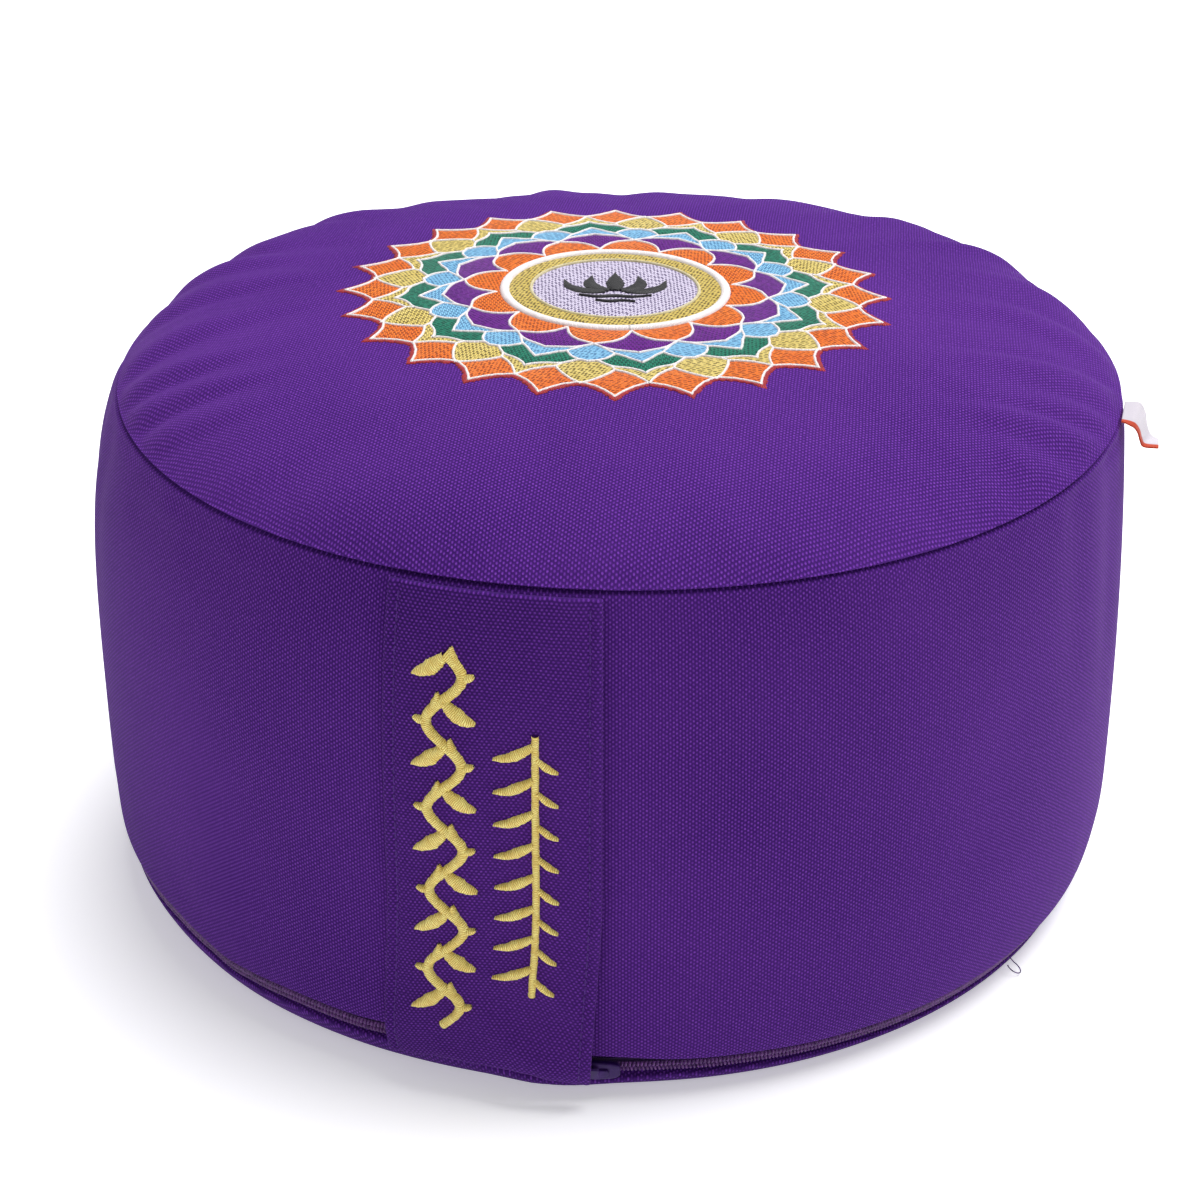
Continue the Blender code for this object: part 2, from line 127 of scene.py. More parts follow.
# Soft upright folds of the band, as the solid has them: azimuth, half width, height of the lower end, depth
PLEAT_ROWS = (
    (-62, 3.4, 0.122, 0.0008),
    (-71, 3.2, 0.116, 0.0009),
    (-83, 3.6, 0.124, 0.0009),
    (-103, 3.8, 0.118, 0.0008),
    (-131, 4.2, 0.122, 0.0009),
    (-166, 4.4, 0.120, 0.0007),
    (148, 4.4, 0.118, 0.0009),
    (121, 4.0, 0.122, 0.0008),
    (98, 3.6, 0.112, 0.0010),
    (79, 3.4, 0.096, 0.0010),
    (68, 3.2, 0.118, 0.0007),
)
PLEAT_BELOW, PLEAT_ABOVE = 0.045, 0.020  # a fold deepens from and to these distances round its lower end
PLEAT_SEAM_WIDTH = 0.006  # and the seam closes it again

# The cover's mesh, and the simulation that fills it
TURN_STEPS = 160
CROWN_STEPS, CROWN_SPREAD = 20, 1.9
BAND_STEPS = 22
FILL_FRAMES = 18
CLOTH_SETTINGS = {
    "quality": 6, "mass": 0.3, "tension_stiffness": 12, "compression_stiffness": 12,
    "shear_stiffness": 4, "bending_stiffness": 0.4, "shrink_min": -0.012,
    "use_pressure": True, "uniform_pressure_force": 4.0,
}
SEWN_TOP = (0.5, 0.9, 1, 0.8, 0.3)  # how firmly each ring is held, from two above the top seam down
SEWN_LOW = (0.2, 0.6)  # the same, above the zip's channel
TIP_RISE = 0.0001  # of the crown's middle point over the ring round it
SLACK_START = 0.0012  # how far inside the filled cover the simulation starts
SWELL_CAP = 0.0026
SWELL_SHARE, CROWN_SWELL_SHARE = 0.45, 0.3
STRAP_CALM = (12, 26)  # degrees from the front: under the strap the band stays as the solid has it

# The handle strap: the solid's form, with its foot fitted closer to the photograph
STRAP_WIDTH, STRAP_THICKNESS = 0.061, 0.0022
STRAP_TOP = TOP_SEAM_HEIGHT - 0.0008
STRAP_REST_GAP, STRAP_EDGE_GAP, STRAP_EDGE_SHARE = 0.0006, 0.0010, 0.16
STRAP_PULL_BULGE, STRAP_PULL_START, STRAP_PULL_FULL = 0.0036, 0.25, 0.7
STRAP_PULL_HEIGHT, STRAP_PULL_SPREAD = 0.0125, 0.013
STRAP_TOP_FADE = 0.03
STRAP_FOOT_ROWS = (  # share of the width from the left, height of the lower edge
    (0.0, 0.0084), (0.12, 0.0090), (0.26, 0.0105), (0.40, 0.0117), (0.53, 0.0125),
    (0.62, 0.0127), (0.70, 0.0120), (0.83, 0.0098), (0.93, 0.0086), (1.0, 0.0082),
)
# The base panel swells under the strap's foot, and no longer above these heights
LIP_BULGE, LIP_BULGE_AZIMUTH, LIP_BULGE_HALF_WIDTH = 0.0024, 5.5, 5.5
LIP_BULGE_FADE = (0.0046, 0.0076)
STRAP_SLANT_ROWS = ((0.0, -1.0), (0.075, 0.25), (0.16, 0.3))  # height, azimuth of its middle
STRAP_HUG_HEIGHT = 0.010
STRAP_LENGTH = 0.1500  # of its middle layer, on average
STRAP_STITCH_INSET, STRAP_STITCH_SINK, STRAP_STITCH_WIDTH = 0.0034, 0.00060, 0.0008
STRAP_SOFT_FOLDS = (  # across and up of both ends, half width, height
    (0.050, 0.012, 0.030, 0.030, 0.0042, 0.0006),
    (0.061, 0.030, 0.040, 0.046, 0.0038, 0.0005),
    (0.040, 0.006, 0.018, 0.014, 0.0036, 0.0005),
    (0.061, 0.060, 0.046, 0.070, 0.0040, 0.0004),
    (0.003, 0.020, 0.015, 0.034, 0.0045, 0.0004),
)

# The zip: in the solid's channel, with single teeth and a slightly smaller slider
COIL_INSET = 0.0019
TOOTH_PITCH, TOOTH_WIDTH, TOOTH_LENGTH = 0.00118, 0.00094, 0.0022
TOOTH_GAP = 0.00012  # from the middle line to each side's teeth
TOOTH_SLANT = 0.00035
TOOTH_HEIGHTS = (0.00035, 0.00095, 0.00118, 0.00112, 0.00085, 0.0002)  # from the middle line outward
SLIDER_AZIMUTH, SLIDER_OUT = 10.9, 0.0001
SLIDER_LENGTH, SLIDER_HEIGHT = 0.0096, 0.0056
SLIDER_BLOCKS = (  # length, height, from and to this far out of its face, taper, shift along
    (SLIDER_LENGTH, SLIDER_HEIGHT, -0.00095, 0.00095, 0.16, 0),
    (0.0046, 0.0020, 0.0006, 0.0019, 0.0, -0.0008),
)
BLOCK_SIDES, BLOCK_SQUARENESS = 40, 0.45
BLOCK_ROWS = (  # share of the size, share of the way out
    (0.5, 1.04), (0.86, 1), (0.96, 0.9), (1, 0.7), (1, 0.15), (0.9, 0),
)

# The side label, hung from the solid's two edges
CLEARANCE = 0.0003
LABEL_NEAR_AZIMUTH, LABEL_FAR_AZIMUTH = 84.9, 90.6
LABEL_THICKNESS = 0.0006
LABEL_SIZE = (0.0165, 0.0168)  # laid flat: across, and from the seam to its end
LABEL_NEAR_EDGE = (  # out from the seam, up
    (0.0, 0.0), (0.0034, -0.0002), (0.0052, -0.0020), (0.0062, -0.0046), (0.0074, -0.0063), (0.0118, -0.0062),
)
LABEL_FAR_EDGE = (
    (0.0, 0.0), (0.0043, 0.0), (0.0062, -0.0026), (0.0073, -0.0072), (0.0088, -0.0104), (0.0112, -0.0117),
)
LABEL_SEAM_RISE = 0.0010
LABEL_HEM, LABEL_CURL = 0.0016, 0.0009  # the near edge is bound in orange-red, and hangs

# The embroidered rosette on the crown
ROSETTE_CENTRE = (0.00145, 0.0018)
ROSETTE_RADIUS = 0.0845
ROSETTE_STRETCH = 1.02  # wider across than from front to back
ROSETTE_TURN = 18.6  # azimuth of the middle of one purple petal
PETAL_TURN = 30.0  # from one purple petal to the next
TURN_STEP = 0.5
EDGES = {  # the petals' outer edges: degrees from a purple petal's middle, share of the rosette's radius
    "ring": ((0, 0.418), (15, 0.418)),
    "inner": ((0, 0.432), (1.2, 0.450), (3, 0.478), (5.5, 0.506),
              (8.5, 0.528), (12, 0.542), (14, 0.549), (15, 0.556)),
    "purple": ((0, 0.626), (1.2, 0.620), (4, 0.611), (7, 0.603),
               (9.5, 0.594), (11.5, 0.582), (13.5, 0.566), (15, 0.556)),
    "blue": ((0, 0.709), (1, 0.698), (3, 0.676), (4.7, 0.655), (6.4, 0.641), (7.5, 0.634),
             (8.6, 0.655), (10.2, 0.679), (12.4, 0.696), (14, 0.701), (15, 0.706)),
    "green": ((0, 0.796), (1, 0.779), (2.9, 0.761), (5, 0.751), (7.2, 0.746), (8.6, 0.738),
              (10.4, 0.718), (12.2, 0.698), (12.8, 0.697), (14, 0.701), (15, 0.706)),
    "yellow": ((0, 0.878), (0.9, 0.852), (2.6, 0.816), (5, 0.787), (7.5, 0.769),
               (9, 0.800), (11, 0.833), (13, 0.863), (14.3, 0.877), (15, 0.888)),
    "outer": ((0, 0.876), (1.3, 0.884), (3.5, 0.903), (5.4, 0.931), (6.7, 0.957), (7.5, 0.977),
              (8.3, 0.957), (9.6, 0.931), (11.5, 0.903), (13.7, 0.886), (15, 0.880)),
}
PETAL_ROWS = (  # thread, inner and outer edge, first middle and width of its cells, lean of the thread
    ("orange", "ring", "inner", (PETAL_TURN / 2, PETAL_TURN), 40),
    ("purple", "inner", "purple", (0, PETAL_TURN), -30),
    ("blue", "purple", "blue", (0, PETAL_TURN / 2), 35),
    ("green", "blue", "green", (0, PETAL_TURN), -35),
    ("yellow", "green", "yellow", (0, PETAL_TURN / 2), 30),
    ("orange", "yellow", "outer", (PETAL_TURN / 4, PETAL_TURN / 2), 40),
)
THREADS = {  # thread, its pale side, needle holes, how strongly they show, how pale it is in all
    "orange": ((228, 92, 22), (252, 146, 52), (120, 38, 22), 0.85, 0.38),
    "purple": ((82, 20, 118), (130, 36, 160), (42, 8, 74), 0.6, 0.38),
    "blue": ((104, 172, 216), (158, 214, 240), (40, 92, 150), 0.8, 0.38),
    "green": ((14, 102, 80), (44, 148, 120), (4, 46, 40), 0.8, 0.38),
    "yellow": ((212, 184, 82), (250, 230, 148), (84, 68, 26), 0.95, 0.38),
    "gold": ((208, 180, 84), (236, 214, 122), (70, 56, 26), 1.0, 0.27),
    "lilac": ((218, 208, 232), (228, 220, 240), (82, 68, 112), 1.0, 0.27),
}
SATINS = {  # thread, the painted shade between threads, roughness
    "white_satin": ((255, 252, 250), (238, 226, 228), 0.6),
    "cream_satin": ((240, 230, 190), (200, 184, 130), 0.5),
    "red_satin": ((190, 18, 30), (120, 6, 24), 0.6),
    "black_satin": ((34, 33, 36), (12, 12, 14), 0.5),
    "gold_satin": ((255, 244, 150), (212, 168, 52), 0.40),
    "purple_thread": ((92, 26, 150), (60, 14, 104), 0.85),
    "loose_purple_thread": ((104, 66, 140), (60, 30, 92), 0.6),
}
SHORT_EDGES = (((7.5, 0.634), (9.2, 0.613), (11.4, 0.584)), ((7.5, 0.769), (8.0, 0.754), (8.4, 0.742)))
FILL_LIFT, OUTLINE_LIFT = 0.00038, 0.00066  # of the embroidery over the cloth
OUTLINE_WIDTH, OUTLINE_JAG, THREAD_STEP = 0.00095, 0.24, 0.00042
GOLD_RING, LILAC_DISC = (0.300, 0.384), (0, 0.305)  # from and to these shares of the radius
RINGS = {  # share of the radius, width, lift, unevenness
    "white": (0.4, 0.0031, 0.0010, 0.05),
    "cream": (0.304, 0.0011, 0.00075, 0.12),
}
EDGING_OUTWARD, EDGING_WIDTH, EDGING_LIFT, EDGING_JAG = 0.0008, 0.0016, 0.00042, 0.55


def smooth(low, high, value):
    """0 at low, 1 at high and an even S between them."""
    share = np.clip((value - low) / (high - low), 0, 1)
    return share * share * (3 - 2 * share)


def bump(offset):
    return np.exp(-offset * offset)


def from_rows(rows, value):
    """The second column of rows at this value of the first, eased between rows."""
    value = np.asarray(value, float)
    result = np.full(value.shape, float(rows[0][1]))
    for (low, start), (high, end) in zip(rows, rows[1:]):
        result = np.where(value > low, start + (end - start) * smooth(low, high, value), result)
    return result


def turn_between(azimuth, other):
    """How far azimuth lies past other, from -180 to 180."""
    return (azimuth - other + 180) % 360 - 180


def azimuth_of(points):
    """The azimuth at which each point stands."""
    return np.degrees(np.arctan2(points[..., 0], -points[..., 1]))


def facing(azimuth):
    """Unit steps at this azimuth: along the cover's side, and straight out of it."""
    angle = math.radians(azimuth)
    along = np.array((math.cos(angle), math.sin(angle), 0))
    return along, np.array((math.sin(angle), -math.cos(angle), 0))


UP = np.array((0, 0, 1))


def around(azimuth, radius, height):
    """Points at this azimuth, radius and height."""
    angle = np.radians(azimuth)
    return np.stack(np.broadcast_arrays(radius * np.sin(angle), -radius * np.cos(angle), height), -1)


def seam_shift(azimuth):
    return SEAM_SHIFT * np.cos(np.radians(azimuth - SEAM_SHIFT_AZIMUTH))


def band_radius(height, azimuth=None):
    """The cover's side: widest low down, drawn in at both seams. Without an azimuth, its even form."""
    shift = 0 if azimuth is None else seam_shift(azimuth)
    power = BAND_POWER - BAND_POWER_SPREAD * shift / SEAM_SHIFT
    up = np.clip((height - WIDEST_HEIGHT) / (TOP_SEAM_HEIGHT - WIDEST_HEIGHT), 0, None)
    down = np.clip((WIDEST_HEIGHT - height) / (WIDEST_HEIGHT - BAND_FOOT_HEIGHT), 0, None)
    upper = (WIDEST_RADIUS - TOP_SEAM_RADIUS - shift) * up**power
    lower = (WIDEST_RADIUS - BAND_FOOT_RADIUS) * down**FOOT_POWER
    return WIDEST_RADIUS - upper - lower


def crown_height(share):
    """The top panel at this share of its seam's radius."""
    dome = CROWN_RISE * (1 - share**CROWN_POWER)
    return TOP_SEAM_HEIGHT + dome + SHOULDER_RISE * (1 - share**SHOULDER_POWER)


def ripples(azimuth, radius):
    """How far the top panel stands proud of its even crown: soft ridges with a sharper valley beside each."""
    total = 0
    for seam_azimuth, turn, half_width, inner_radius, height in RIPPLE_ROWS:
        inward = (TOP_SEAM_RADIUS - radius) / (TOP_SEAM_RADIUS - inner_radius)
        offset = turn_between(azimuth, seam_azimuth + turn * inward) / half_width
        full = inner_radius + RIPPLE_REACH * (TOP_SEAM_RADIUS - inner_radius)
        reach = smooth(inner_radius, full, radius)
        pinch = PINCH_SHARE * bump((offset - PINCH_OFFSET) / PINCH_WIDTH)
        total = total + height * reach * (bump(offset) - pinch)
    near_seam = smooth(TOP_SEAM_RADIUS - RIPPLE_SEAM_WIDTH, TOP_SEAM_RADIUS, radius)
    return RIPPLE_GAIN * total * (1 - RIPPLE_SEAM_LOSS * near_seam)


def settling(points):
    """How far the top panel lies over (or under) the even dome."""
    x, y = points[..., 0], points[..., 1]
    radius = np.hypot(x, y)
    azimuth = azimuth_of(points)
    even = SETTLE_RISE * (radius / SETTLE_RADIUS) ** 2 - SETTLE_DROP
    even = even + (SETTLE_SLOPE[0] * x + SETTLE_SLOPE[1] * y) / SETTLE_RADIUS
    total = even * (1 - smooth(*SETTLE_FADE, radius))
    for middle, half_width, ring, half_depth, rise in SHOULDER_BUMPS:
        beside = bump(turn_between(azimuth, middle) / half_width)
        total = total + rise * beside * bump((radius - ring) / half_depth)
    return total * smooth(0, 0.010, TOP_SEAM_RADIUS - radius)


def pleats(azimuth, height):
    """How far the band's soft folds sink below its even side."""
    total = 0
    for middle, half_width, low_end, depth in PLEAT_ROWS:
        reach = smooth(low_end - PLEAT_BELOW, low_end + PLEAT_ABOVE, height)
        total = total + depth * reach * bump(turn_between(azimuth, middle) / half_width)
    return total * (1 - smooth(TOP_SEAM_HEIGHT - PLEAT_SEAM_WIDTH, TOP_SEAM_HEIGHT, height))


def base_seam_height(azimuth):
    return from_rows(SEAM_ROWS, turn_between(azimuth, 0))


def zip_share(azimuth):
    """1 where the zip's channel is open, 0 along the plain seam."""
    from_middle = np.abs(turn_between(azimuth, (ZIP_START + ZIP_END) / 2))
    past_channel = from_middle - (ZIP_END - ZIP_START) / 2 - CHANNEL_PAST_ZIP
    return 1 - smooth(0, CHANNEL_FADE, past_channel)


def gape(azimuth):
    """How much wider than usual the channel is, as a factor."""
    offset = turn_between(azimuth, GAPE_AZIMUTH) / GAPE_HALF_WIDTH
    return 1 + GAPE_SHARE * np.exp(-(offset**4))


def lean(points):
    """The settled filling's tilt and the slump of its back, none at the base and whole at the top seam."""
    x, y, z = points[..., 0], points[..., 1], points[..., 2]
    azimuth = azimuth_of(points)
    slump = bump(turn_between(azimuth, SLUMP_AZIMUTH) / SLUMP_HALF_WIDTH)
    slump = slump * (np.hypot(x, y) / WIDEST_RADIUS) ** 2
    share = smooth(LEAN_START, TOP_SEAM_HEIGHT, z)
    pull = 1 - share * slump * SLUMP_PULL / WIDEST_RADIUS
    drop = share * (TOP_TILT * x / WIDEST_RADIUS + SLUMP_DROP * slump)
    return np.stack([x * pull, y * pull, z - drop], -1)


def on_cover(azimuth, height, out):
    """The points that stand this far out of the cover's side."""
    return lean(around(azimuth, band_radius(height, azimuth) + out, height))


def settled(azimuth, radius, height):
    """Where a point of the even turned form lies on the filled, settled cushion."""
    crown = height > TOP_SEAM_HEIGHT - SEAM_EDGE
    top_radius = radius * (1 + seam_shift(azimuth) / TOP_SEAM_RADIUS)
    inset = band_radius(height) - radius
    share = zip_share(azimuth)
    depth = PLAIN_SEAM_DEPTH + (CHANNEL_DEPTH - PLAIN_SEAM_DEPTH) * share
    inset = np.where(inset > 1e-6, inset * depth / CHANNEL_DEPTH, inset)
    width = (PLAIN_SEAM_SHARE + (1 - PLAIN_SEAM_SHARE) * share) * gape(azimuth)
    above_seam = height - EVEN_SEAM_HEIGHT
    seam = base_seam_height(azimuth)
    below = height * (seam - LIP * width) / (EVEN_SEAM_HEIGHT - LIP)
    rise = seam - EVEN_SEAM_HEIGHT + LIP * (width - 1)
    above = height + rise * (1 - smooth(LIP, SEAM_REACH, above_seam))
    moved = np.where(above_seam < 0, below, above)
    moved = np.where(np.abs(above_seam) < LIP + 0.0001, seam + above_seam * width, moved)
    side = lean(around(azimuth, band_radius(moved, azimuth) - inset, moved))
    top = lean(around(azimuth, top_radius, height))
    return np.where((crown | (height < 1e-6) | (radius < 1e-6))[..., None], top, side)


# Meshes

def linear(red, green, blue):
    """A colour as the eye names it, 0 to 255, in linear light with its alpha."""
    return (*[(c / 255 / 12.92 if c < 10.3 else ((c / 255 + 0.055) / 1.055) ** 2.4)
              for c in (red, green, blue)], 1)


class Joined:
    """Grids of points joined into one mesh, with named values at their points."""

    def __init__(self):
        self.points, self.faces, self.values, self.count = [], [], {}, 0

    def add_grid(self, grid, closed=False, **values):
        """Faces look along (first axis) x (second axis). A closed grid's second axis runs round."""
        rows, columns = grid.shape[:2]
        index = self.count + np.arange(rows * columns).reshape(rows, columns)
        if closed:
            index = np.concatenate([index, index[:, :1]], 1)
        quads = np.stack([index[:-1, :-1], index[1:, :-1], index[1:, 1:], index[:-1, 1:]], -1)
        self.points.append(grid.reshape(-1, 3))
        self.faces.extend(quads.reshape(-1, 4).tolist())
        for name, value in values.items():
            spread = np.broadcast_to(value, (rows, columns)).reshape(-1)
            self.values.setdefault(name, []).append(spread)
        self.count += rows * columns

    def add_fan(self, ring, tip, flip=False):
        """Closes a round ring of points that the last grid holds, given as indices, with a tip."""
        self.points.append(np.reshape(tip, (1, 3)))
        for here, there in zip(ring, np.roll(ring, -1)):
            self.faces.append([there, here, self.count] if flip else [here, there, self.count])
        self.count += 1

    def mesh(self, name, flip=False):
        """The mesh of all grids. flip turns its faces over, where they were laid in a mirrored plane."""
        made = bpy.data.meshes.new(name)
        faces = [face[::-1] for face in self.faces] if flip else self.faces
        made.from_pydata(np.concatenate(self.points).tolist(), [], faces)
        for key, columns in self.values.items():
            layer = made.attributes.new(key, "FLOAT", "POINT")
            layer.data.foreach_set("value", np.concatenate(columns).astype(np.float32))
        made.shade_smooth()
        made.update()
        return made


def add_piece(name, mesh, material):
    """A piece of the cushion, which has the one body."""
    piece = bpy.data.objects.new(name, mesh)
    piece.data.materials.clear()
    piece.data.materials.append(material)
    bpy.context.scene.collection.objects.link(piece)
    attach(piece, "root")
    return piece


def coordinates(mesh):
    flat = np.empty(len(mesh.vertices) * 3, np.float32)
    mesh.vertices.foreach_get("co", flat)
    return flat.reshape(-1, 3).astype(float)


def set_coordinates(mesh, points):
    mesh.vertices.foreach_set("co", np.asarray(points, np.float32).reshape(-1))
    mesh.update()


def refined(mesh, levels):
    """The mesh after this many rounds of Catmull-Clark subdivision."""
    guide = bpy.data.objects.new("refining", mesh)
    bpy.context.scene.collection.objects.link(guide)
    rounds = guide.modifiers.new("rounds", "SUBSURF")
    rounds.levels = rounds.render_levels = levels
    graph = bpy.context.evaluated_depsgraph_get()
    finer = bpy.data.meshes.new_from_object(guide.evaluated_get(graph))
    bpy.data.objects.remove(guide)
    finer.shade_smooth()
    return finer


# Node helpers

class Nodes:
    """Short calls that add nodes to one tree and link them."""

    def __init__(self, tree):
        self.tree = tree

    def feed(self, node, **inputs):
        """Sets these inputs of the node, by a link or to a value."""
        for key, value in inputs.items():
            self.set_input(node.inputs[key], value)

    def set_input(self, socket, value):
        if isinstance(value, bpy.types.NodeSocket):
            self.tree.links.new(value, socket)
        else:
            socket.default_value = value

    def add(self, kind, inputs=None, **settings):
        node = self.tree.nodes.new(kind)
        for key, value in settings.items():
            setattr(node, key, value)
        for key, value in (inputs or {}).items():
            self.set_input(node.inputs[key], value)
        return node

    def math(self, operation, *values):
        return self.add("ShaderNodeMath", dict(enumerate(values)), operation=operation).outputs[0]

    def times(self, first, second):
        return self.math("MULTIPLY", first, second)

    def wave(self, value):
        return self.math("SINE", value)

    def off_middle(self, value):
        """How far value lies from the middle between two whole numbers."""
        return self.math("ABSOLUTE", self.math("SUBTRACT", self.math("FRACT", value), 0.5))

    def noise(self, vector, scale, detail=2.0):
        inputs = {"Vector": vector, "Scale": scale, "Detail": detail}
        return self.add("ShaderNodeTexNoise", inputs).outputs["Fac"]

    def span(self, value, low, high, start, end):
        """value's span from low to high, mapped to start to end."""
        inputs = {"Value": value, "From Min": low, "From Max": high, "To Min": start, "To Max": end}
        return self.add("ShaderNodeMapRange", inputs).outputs["Result"]

    def mix(self, factor, first, second):
        inputs = {0: factor, 6: first, 7: second}
        return self.add("ShaderNodeMix", inputs, data_type="RGBA").outputs[2]

    def between(self, factor, shades):
        return self.mix(factor, *(linear(*shade) for shade in shades))

    def place(self):
        return self.add("ShaderNodeTexCoord").outputs["Object"]

    def value_at(self, name):
        return self.add("ShaderNodeAttribute", attribute_name=name).outputs["Fac"]

    def parts(self, vector, turn=None):
        """The vector's x, y and z, after a turn about the upright axis."""
        if turn is not None:
            inputs = {"Vector": vector, "Axis": (0, 0, 1), "Angle": turn}
            vector = self.add("ShaderNodeVectorRotate", inputs).outputs[0]
        return self.add("ShaderNodeSeparateXYZ", {0: vector}).outputs

    def angle_round(self, parts):
        """The angle from the front, in radians."""
        return self.math("ARCTAN2", parts[0], self.times(parts[1], -1.0))


def shared_group(name, inputs, outputs):
    """A shader node group with these sockets: (its nodes, its input node, its output node)."""
    tree = bpy.data.node_groups.new(name, "ShaderNodeTree")
    for label, kind, default in inputs:
        socket = tree.interface.new_socket(label, in_out="INPUT", socket_type=kind)
        if default is not None:
            socket.default_value = default
    for label, kind in outputs:
        tree.interface.new_socket(label, in_out="OUTPUT", socket_type=kind)
    nodes = Nodes(tree)
    return nodes, nodes.add("NodeGroupInput"), nodes.add("NodeGroupOutput")


def plain_weave_group():
    """Canvas in plain weave: Rib and Thread count the cells across and along the ribs."""
    nodes, given, result = shared_group(
        "plain_weave",
        [("Rib", "NodeSocketFloat", 0.0), ("Thread", "NodeSocketFloat", 0.0)],
        [("Height", "NodeSocketFloat"), ("Over", "NodeSocketFloat")],
    )
    counts = {0: given.outputs["Rib"], 1: given.outputs["Thread"]}
    drift = nodes.add("ShaderNodeCombineXYZ", counts).outputs[0]
    waver = nodes.math("SUBTRACT", nodes.noise(drift, 0.11, 1.0), 0.5)
    rib = nodes.math("MULTIPLY_ADD", waver, 0.5, given.outputs["Rib"])
    thread = nodes.math("MULTIPLY_ADD", waver, 0.5, given.outputs["Thread"])
    across = nodes.times(rib, math.pi)
    along = nodes.times(thread, math.pi)
    # Floats rise in a checkerboard, so the product of two waves is one float up, one float down.
    # Between neighbouring ribs the cloth lies lower all along, and the canvas paints shade there from this
    # height.
    rib_wave = nodes.wave(across)
    wave = nodes.times(rib_wave, nodes.wave(along))
    raised = nodes.times(nodes.math("ABSOLUTE", rib_wave), 0.75)
    raised = nodes.math("MULTIPLY_ADD", wave, 0.62, raised)
    over = nodes.span(raised, -0.10, 1.05, 0.0, 1.0)
    uneven = nodes.span(nodes.noise(drift, 0.9, 2.0), 0.3, 0.7, 0.62, 1.0)
    height = nodes.times(over, uneven)
    nodes.feed(result, Height=height, Over=over)
    return nodes.tree


def cloth_tone_group():
    """Slow, faint changes of tone across dyed cloth, and the fine lint on it."""
    nodes, given, result = shared_group(
        "cloth_tone",
        [("Vector", "NodeSocketVector", None)],
        [("Tone", "NodeSocketFloat"), ("Lint", "NodeSocketFloat")],
    )
    slow = nodes.span(nodes.noise(given.outputs["Vector"], 14.0, 3.0), 0.3, 0.7, 0.0, 1.0)
    fine = nodes.span(nodes.noise(given.outputs["Vector"], 900.0, 2.0), 0.35, 0.65, 0.0, 1.0)
    nodes.feed(result, Tone=slow, Lint=fine)
    return nodes.tree


def thread_fill_group():
    """Rows of embroidery thread, with the small dark needle holes between their stitches."""
    nodes, given, result = shared_group(
        "thread_fill",
        [("Vector", "NodeSocketVector", None), ("Angle", "NodeSocketFloat", 0.0)],
        [("Height", "NodeSocketFloat"), ("Hole", "NodeSocketFloat"), ("Sheen", "NodeSocketFloat")],
    )
    parts = nodes.parts(given.outputs["Vector"], given.outputs["Angle"])
    across = nodes.times(parts[0], 1 / ROW_PITCH)
    along = nodes.times(parts[1], 1 / STITCH_LENGTH)
    row = nodes.math("FLOOR", across)
    # Each row's stitches start half a stitch further on, and a little unevenly
    shifted = nodes.math("ADD", along, nodes.times(row, 0.5))
    uneven = nodes.add("ShaderNodeTexWhiteNoise", {"W": row}, noise_dimensions="1D").outputs["Value"]
    shifted = nodes.math("MULTIPLY_ADD", uneven, 0.3, shifted)
    in_row, in_stitch = nodes.off_middle(across), nodes.off_middle(shifted)
    round_row = nodes.math("SUBTRACT", 1.0, nodes.times(in_row, 1.7))
    hole = nodes.times(nodes.span(in_stitch, 0.27, 0.38, 0.0, 1.0),
                      nodes.span(in_row, 0.34, 0.5, 1.0, 0.0))
    number = nodes.math("FLOOR", nodes.math("ADD", shifted, 0.5))
    cell = nodes.add("ShaderNodeCombineXYZ", {0: row, 1: number}).outputs[0]
    seen = nodes.add("ShaderNodeTexWhiteNoise", {"Vector": cell}).outputs["Value"]
    hole = nodes.times(hole, nodes.span(seen, 0.0, 0.4, 0.4, 1.0))
    height = nodes.math("SUBTRACT", round_row, nodes.times(hole, 0.8))
    nodes.feed(result, Height=height, Hole=hole, Sheen=round_row)
    return nodes.tree


# Materials

RIB_PITCH, THREAD_PITCH = 0.00091, 0.00066  # of the canvas: between its ribs, and along them
CANVAS_RELIEF = 0.00016
COVER_SHADED_AND_LIT = ((40, 10, 77), (78, 25, 129), (120, 62, 170))  # painted shade, middle, painted highlight; the strap's likewise
STRAP_SHADED_AND_LIT = ((34, 8, 68), (72, 22, 121), (112, 56, 160))
COIL_SHADES = ((72, 34, 94), (112, 62, 134))
# The tape's twill in a painted-shade tone and a painted-highlight tone.
TAPE_SHADED_AND_LIT = ((44, 16, 72), (72, 34, 104))
ENAMEL_SHADES = ((50, 18, 88), (82, 42, 124))
# The ribbon's painted shade and highlight: its white face painted in two greys, its orange-red back and hem
# in a shaded and a lit tone.
RIBBON_SHADED_AND_LIT = ((176, 170, 180), (212, 205, 213))
RIBBON_BACK_SHADED_AND_LIT = ((158, 40, 12), (206, 70, 26))
CANVAS_SHEEN = (190, 130, 220)
TOP_WEAVE_TURN = 5.5  # degrees that the top panel's ribs are turned from the front
ROW_PITCH, STITCH_LENGTH = 0.00060, 0.0030  # of the embroidery's filled areas
SATIN_PITCH, GOLD_PITCH = 0.00042, 0.00056  # between the threads of satin stitch
TWILL_RIB, TWILL_ROW = 0.0007, 0.0006  # of the zip's tape
RIBBON_THREAD, RIBBON_ROW = 0.00045, 0.0006


def new_material(name, roughness, specular, sheen=0.0, sheen_tint=(1, 1, 1, 1)):
    material = bpy.data.materials.new(name)
    material.use_nodes = True
    shader = material.node_tree.nodes["Principled BSDF"]
    settings = {"Roughness": roughness, "Specular IOR Level": specular, "Sheen Weight": sheen,
                "Sheen Roughness": 0.45, "Sheen Tint": sheen_tint}
    for key, value in settings.items():
        shader.inputs[key].default_value = value
    return material, Nodes(material.node_tree), shader


